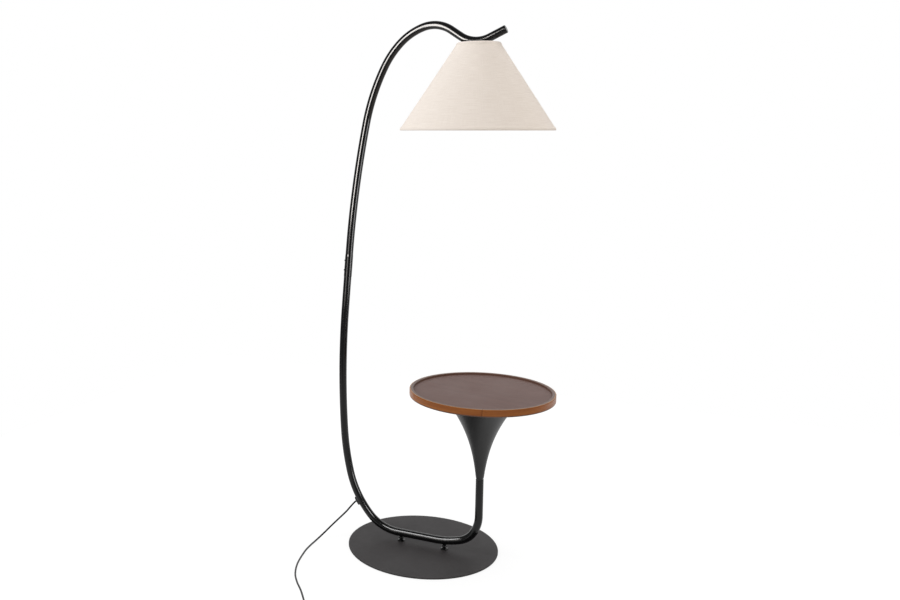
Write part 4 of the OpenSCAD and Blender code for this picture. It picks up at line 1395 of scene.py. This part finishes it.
@dataclass(frozen=True)
class Table:
    """The side table: a bent wooden hoop round its top, on a trumpet that flares from the stem."""

    axis: tuple[float, float] = (0.163012, 0.0)
    outer: float = 198 * MM
    inner: float = 187 * MM
    low: float = 464 * MM
    high: float = 484 * MM
    edge: float = 2.6 * MM
    columns: int = 288
    seam: float = -74.0
    seam_width: float = 0.6 * MM
    face_insets: tuple[float, float] = (1.5 * MM, 1 * MM)
    trumpet_low: float = 232 * MM
    trumpet_high: float = 464 * MM
    trumpet_foot: float = 11 * MM
    trumpet_mouth: float = 107 * MM
    trumpet_cone: float = 0.31
    trumpet_power: float = 2.5
    trumpet_rows: int = 121
    trumpet_columns: int = 144
    wall: float = 2.5 * MM
    bore: float = 9 * MM
    chamfer: tuple[float, float] = (0.5 * MM, 0.4 * MM)
    lip_drop: float = 0.1 * MM
    inside_drop: float = 0.2 * MM

    def section(self) -> Array:
        """Gives the hoop's section with rounded edges, downwards along its outer side."""
        outer, inner, low, high = self.outer, self.inner, self.low, self.high
        corners = np.array([(outer, high), (outer, low), (inner, low), (inner, high)])
        return filleted(corners, self.edge)

    def hoop(self) -> bpy.types.Object:
        """Carries the section round from one side of the seam to the other.

        Returns:
            The hoop.
        """
        half = math.degrees(self.seam_width / 2 / self.outer)
        start, end = self.seam + half, self.seam + 360 - half
        skin = part_turn(self.section(), self.axis, start, end, self.columns)
        wood = HoopVeneer(
            "hoop walnut",
            light=(0.36, 0.126, 0.026),
            dark=(0.2, 0.056, 0.012),
            roughness=0.38,
            place=Place.CLOTH,
            specular=0.25,
            lacquer=0.05,
            stain=(0.1, 0.058, 0.047),
            # Pale colour painted along the upper edge as a highlight.
            edge_highlight=(0.46, 0.235, 0.09),
            face_start=self.face_insets[0],
            face_end=self.high - self.low - self.face_insets[1],
            length=TURN * self.outer - self.seam_width,
        )
        piece = make_piece("table_rim", [self.swapped(skin)], wood.material())
        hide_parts("table_hoop")
        return piece

    @staticmethod
    def swapped(skin: Skin) -> Skin:
        """Swaps U and V, so that grain along X runs round the hoop."""
        return replace(skin, quad_uv=skin.quad_uv[..., ::-1], tri_uv=skin.tri_uv[..., ::-1])

    def flare(self, t: Array) -> Array:
        """Gives the trumpet's outer radius: a cone plus a power of the height's share t."""
        rise = self.trumpet_cone * t + (1 - self.trumpet_cone) * t**self.trumpet_power
        return self.trumpet_foot + (self.trumpet_mouth - self.trumpet_foot) * rise

    def trumpet(self, paint: bpy.types.Material) -> bpy.types.Object:
        """Turns the trumpet's wall: outside up, over the lip and down the inside to its floor.

        The inside is the outside moved in by the wall's thickness along its normal.

        Args:
            paint: The trumpet's paint.

        Returns:
            The trumpet.
        """
        t = np.linspace(0.0, 1.0, self.trumpet_rows)
        low, high = self.trumpet_low, self.trumpet_high
        outside = np.stack([self.flare(t), low + (high - low) * t], axis=-1)
        along = np.gradient(outside, axis=0)
        normal = np.stack([along[:, 1], -along[:, 0]], axis=-1)
        normal /= np.linalg.norm(normal, axis=1, keepdims=True)
        inside = (outside - normal * self.wall)[::-1]
        inside = inside[(inside[:, 0] > self.bore) & (inside[:, 1] < high - self.inside_drop)]
        brink = np.array([[outside[0, 0] - self.chamfer[0], low]])
        outside[0, 1] += self.chamfer[1]
        lip = np.array([[inside[0, 0], high - self.lip_drop]])
        profile = np.concatenate([brink, outside, lip, inside])
        floor = float(inside[-1, 1])
        skin = revolved(profile, self.axis, self.trumpet_columns, low=low, high=floor)
        piece = make_piece("table_trumpet", [skin], paint)
        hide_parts("trumpet")
        return piece

    def build(self, paint: bpy.types.Material) -> list[bpy.types.Object]:
        """Makes the hoop and the trumpet and finishes the top and the board under it.

        Args:
            paint: The trumpet's satin paint.

        Returns:
            The new pieces.
        """
        pieces = [self.hoop(), self.trumpet(paint)]
        for piece in pieces:
            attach(piece, "stand")
        dress(TOP_VENEER.material(), "table_sheet")
        dress(BOARD_VENEER.material(), "table_board")
        log.info("table: hoop, top and trumpet")
        return pieces


# ---- Shade ----


@dataclass(frozen=True)
class Shade:
    """The conical linen shade, its cloth rolled round a wire at both edges and lapped behind."""

    axis: tuple[float, float] = (0.131281, 0.0)
    low: float = 1194.14 * MM
    high: float = 1424.14 * MM
    low_radius: float = 206 * MM
    high_radius: float = 55 * MM
    wall: float = 1.2 * MM
    rows: int = 48
    columns: int = 192
    cloth_inset: float = 2 * MM
    lap: float = 0.4 * MM
    lap_width: float = 10 * MM
    lap_inset: float = 8 * MM
    lap_steps: int = 12
    crisp: float = 0.4 * MM
    roll: tuple[tuple[float, float], ...] = (
        (0.9, 3.4), (0.9, 5.5), (0.9, 7.6), (0.7, 8.7), (0.2, 9.2), (-0.6, 9.2), (-1.5, 8.8),
        (-2.4, 8.0), (-4.2, 7.2), (-5.4, 5.8), (-5.8, 4.3), (-5.5, 2.6), (-4.5, 0.9),
        (-3.2, -0.3), (-1.7, -0.3), (0.1, 1.2),
    )  # out from the cloth's face and in from the cloth's edge, in millimetres
    roll_steps: int = 3

    def flat(self) -> tuple[tuple[float, float], float]:
        """Works out the cloth's pattern: part of a ring.

        Its outer radius is the slant times low over (low - high), of the two radii.

        Returns:
            The pattern's width and height, and its area.
        """
        slant = math.hypot(self.low_radius - self.high_radius, self.high - self.low)
        reach = slant * self.low_radius / (self.low_radius - self.high_radius)
        past = math.pi * self.low_radius / reach - math.pi / 2
        area = math.pi * (self.low_radius + self.high_radius) * slant
        return (2 * reach, reach * (1 + math.sin(past))), area

    def edges(self) -> tuple[Array, Array]:
        """Gives radius and height of the cloth's low and high edges."""
        return np.array([self.low_radius, self.low]), np.array([self.high_radius, self.high])

    def slant(self) -> Array:
        """Gives the unit direction up the cone's side, as radius and height."""
        low, high = self.edges()
        return (high - low) / np.linalg.norm(high - low)

    def outward(self) -> Array:
        """Gives the unit direction out of the cone's side."""
        slant = self.slant()
        return np.array([slant[1], -slant[0]])

    def inset(self, way: float) -> tuple[Array, Array]:
        """Gives the two points of the cone's side that lie a way in from its edges."""
        low, high = self.edges()
        return low + self.slant() * way, high - self.slant() * way

    def cloth(self) -> Skin:
        """Turns the cloth's wall: up the outside and down the inside."""
        start, end = self.inset(self.cloth_inset)
        outside = start + (end - start) * np.linspace(0.0, 1.0, self.rows)[:, None]
        inside = outside[::-1] - np.array([self.wall, 0.0])
        return revolved(np.concatenate([outside, inside]), self.axis, self.columns, wrap=True)

    def rolled(self, edge: Array, inwards: Array) -> Skin:
        """Turns the roll of cloth round one edge's wire.

        Args:
            edge: Radius and height of the cloth's edge.
            inwards: Unit direction from the edge along the cloth.

        Returns:
            The roll's surface.
        """
        roll, out, steps = np.array(self.roll), self.outward(), self.roll_steps
        closed = smooth_line(np.concatenate([roll[-1:], roll, roll[:2]]), steps)
        roll = closed[steps : -steps - 1] * MM
        outline = edge + roll[:, :1] * out + roll[:, 1:] * inwards
        if inwards[0] * out[1] > inwards[1] * out[0]:
            outline = outline[::-1]
        return revolved(outline, self.axis, self.columns, wrap=True)

    def lapped(self) -> Skin:
        """Carries the lap's thin section over its width at the back.

        Returns:
            The lap, with close rows that keep its edges crisp.
        """
        start, end = self.inset(self.lap_inset)
        out, near = self.outward() * self.lap, self.slant() * self.crisp
        outside = np.array([end, end - near, start + near, start])
        section = np.concatenate([outside + out, outside[::-1] - out])
        first = 90 - np.degrees(self.lap_width / section[:, 0])
        return part_turn(section, self.axis, first, 90.0, self.lap_steps)

    def build(self) -> list[bpy.types.Object]:
        """Makes the cloth, its rolled edges and its lap.

        Returns:
            The cloth first, then the rolls and the lap.
        """
        linen, slant = SHADE_LINEN.material(), self.slant()
        low, high = self.edges()
        cloth = make_piece("shade_cloth", [self.cloth()], linen)
        rolls = [
            make_piece("shade_low_roll", [self.rolled(low, slant)], linen),
            make_piece("shade_high_roll", [self.rolled(high, -slant)], linen),
            make_piece("shade_lap", [self.lapped()], linen),
        ]
        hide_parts("shade_cone")
        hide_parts("shade_bottom_hem")
        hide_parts("shade_top_hem")
        for piece in [cloth, *rolls]:
            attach(piece, "shade")
        log.info("shade: cloth, two rolls and a lap")
        return [cloth, *rolls]


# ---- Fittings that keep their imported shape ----


@dataclass(frozen=True)
class Fittings:
    """Holder, bulb, wires, screws, grommet, switch and plug, each in its own finish."""

    dressed: tuple[tuple[Paint | Metal | OpalGlass, tuple[str, ...]], ...] = (
        (
            BLACK_PLASTIC,
            (
                "holder_cap", "holder_skirt", "holder_ring", "cord_grommet", "switch_base",
                "switch_cover", "switch_button", "switch_relief_in", "switch_relief_out",
                "coil_tie", "plug_relief", "plug_body", "inner_lead",
            ),
        ),
        (
            STEEL,
            (
                "foot_screw_rear", "foot_screw_front", "foot_nut_rear", "foot_nut_front",
                "joint_sleeve", "trumpet_rod", "table_mount", "table_screw_1", "table_screw_2",
                "table_screw_3", "shade_top_wire", "shade_spider", "shade_bottom_wire",
            ),
        ),
        (BRASS, ("holder_nipple", "bulb_contact", "plug_pin_left", "plug_pin_right")),
        (CAP_METAL, ("bulb_cap",)),
        (CERAMIC, ("holder_core",)),
        (PAD_RUBBER, ("floor_pad",)),
        (BLACKENED_SCREW, ("joint_screw_low", "joint_screw_high")),
        (OPAL_GLASS, ("bulb_globe",)),
    )

    def build(self) -> None:
        """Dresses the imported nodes."""
        for finish, nodes in self.dressed:
            dress(finish.material(), *nodes)
        log.info("fittings dressed")


def corners(box: tuple) -> list[list[float]]:
    """Gives a box's two corners as plain lists."""
    return [[float(v) for v in corner] for corner in box]


def main() -> None:
    """Builds the lamp in order: camera and cord, then tube, foot, table, shade and fittings."""
    logging.basicConfig(level=logging.INFO, format="%(name)s: %(message)s")
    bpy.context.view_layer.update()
    for build in (build_sprayed, build_handled, build_woven, build_grained):
        build()
    Camera().build()
    Cord().build()

    gloss, matte, satin = (p.material() for p in (GLOSS_BLACK, MATTE_GREY, SATIN_BLACK))
    tube = BentTube()
    tube.build(gloss)
    EndCap(tube.upper.after((4 * MM, 0))).build(gloss)
    Foot().build(matte, gloss)
    Table().build(satin)
    Shade().build()
    Fittings().build()
    dress(gloss, "holder_boss")
    dress(satin, "stem_plug")
    Room().build()


if __name__ == "__main__":
    main()
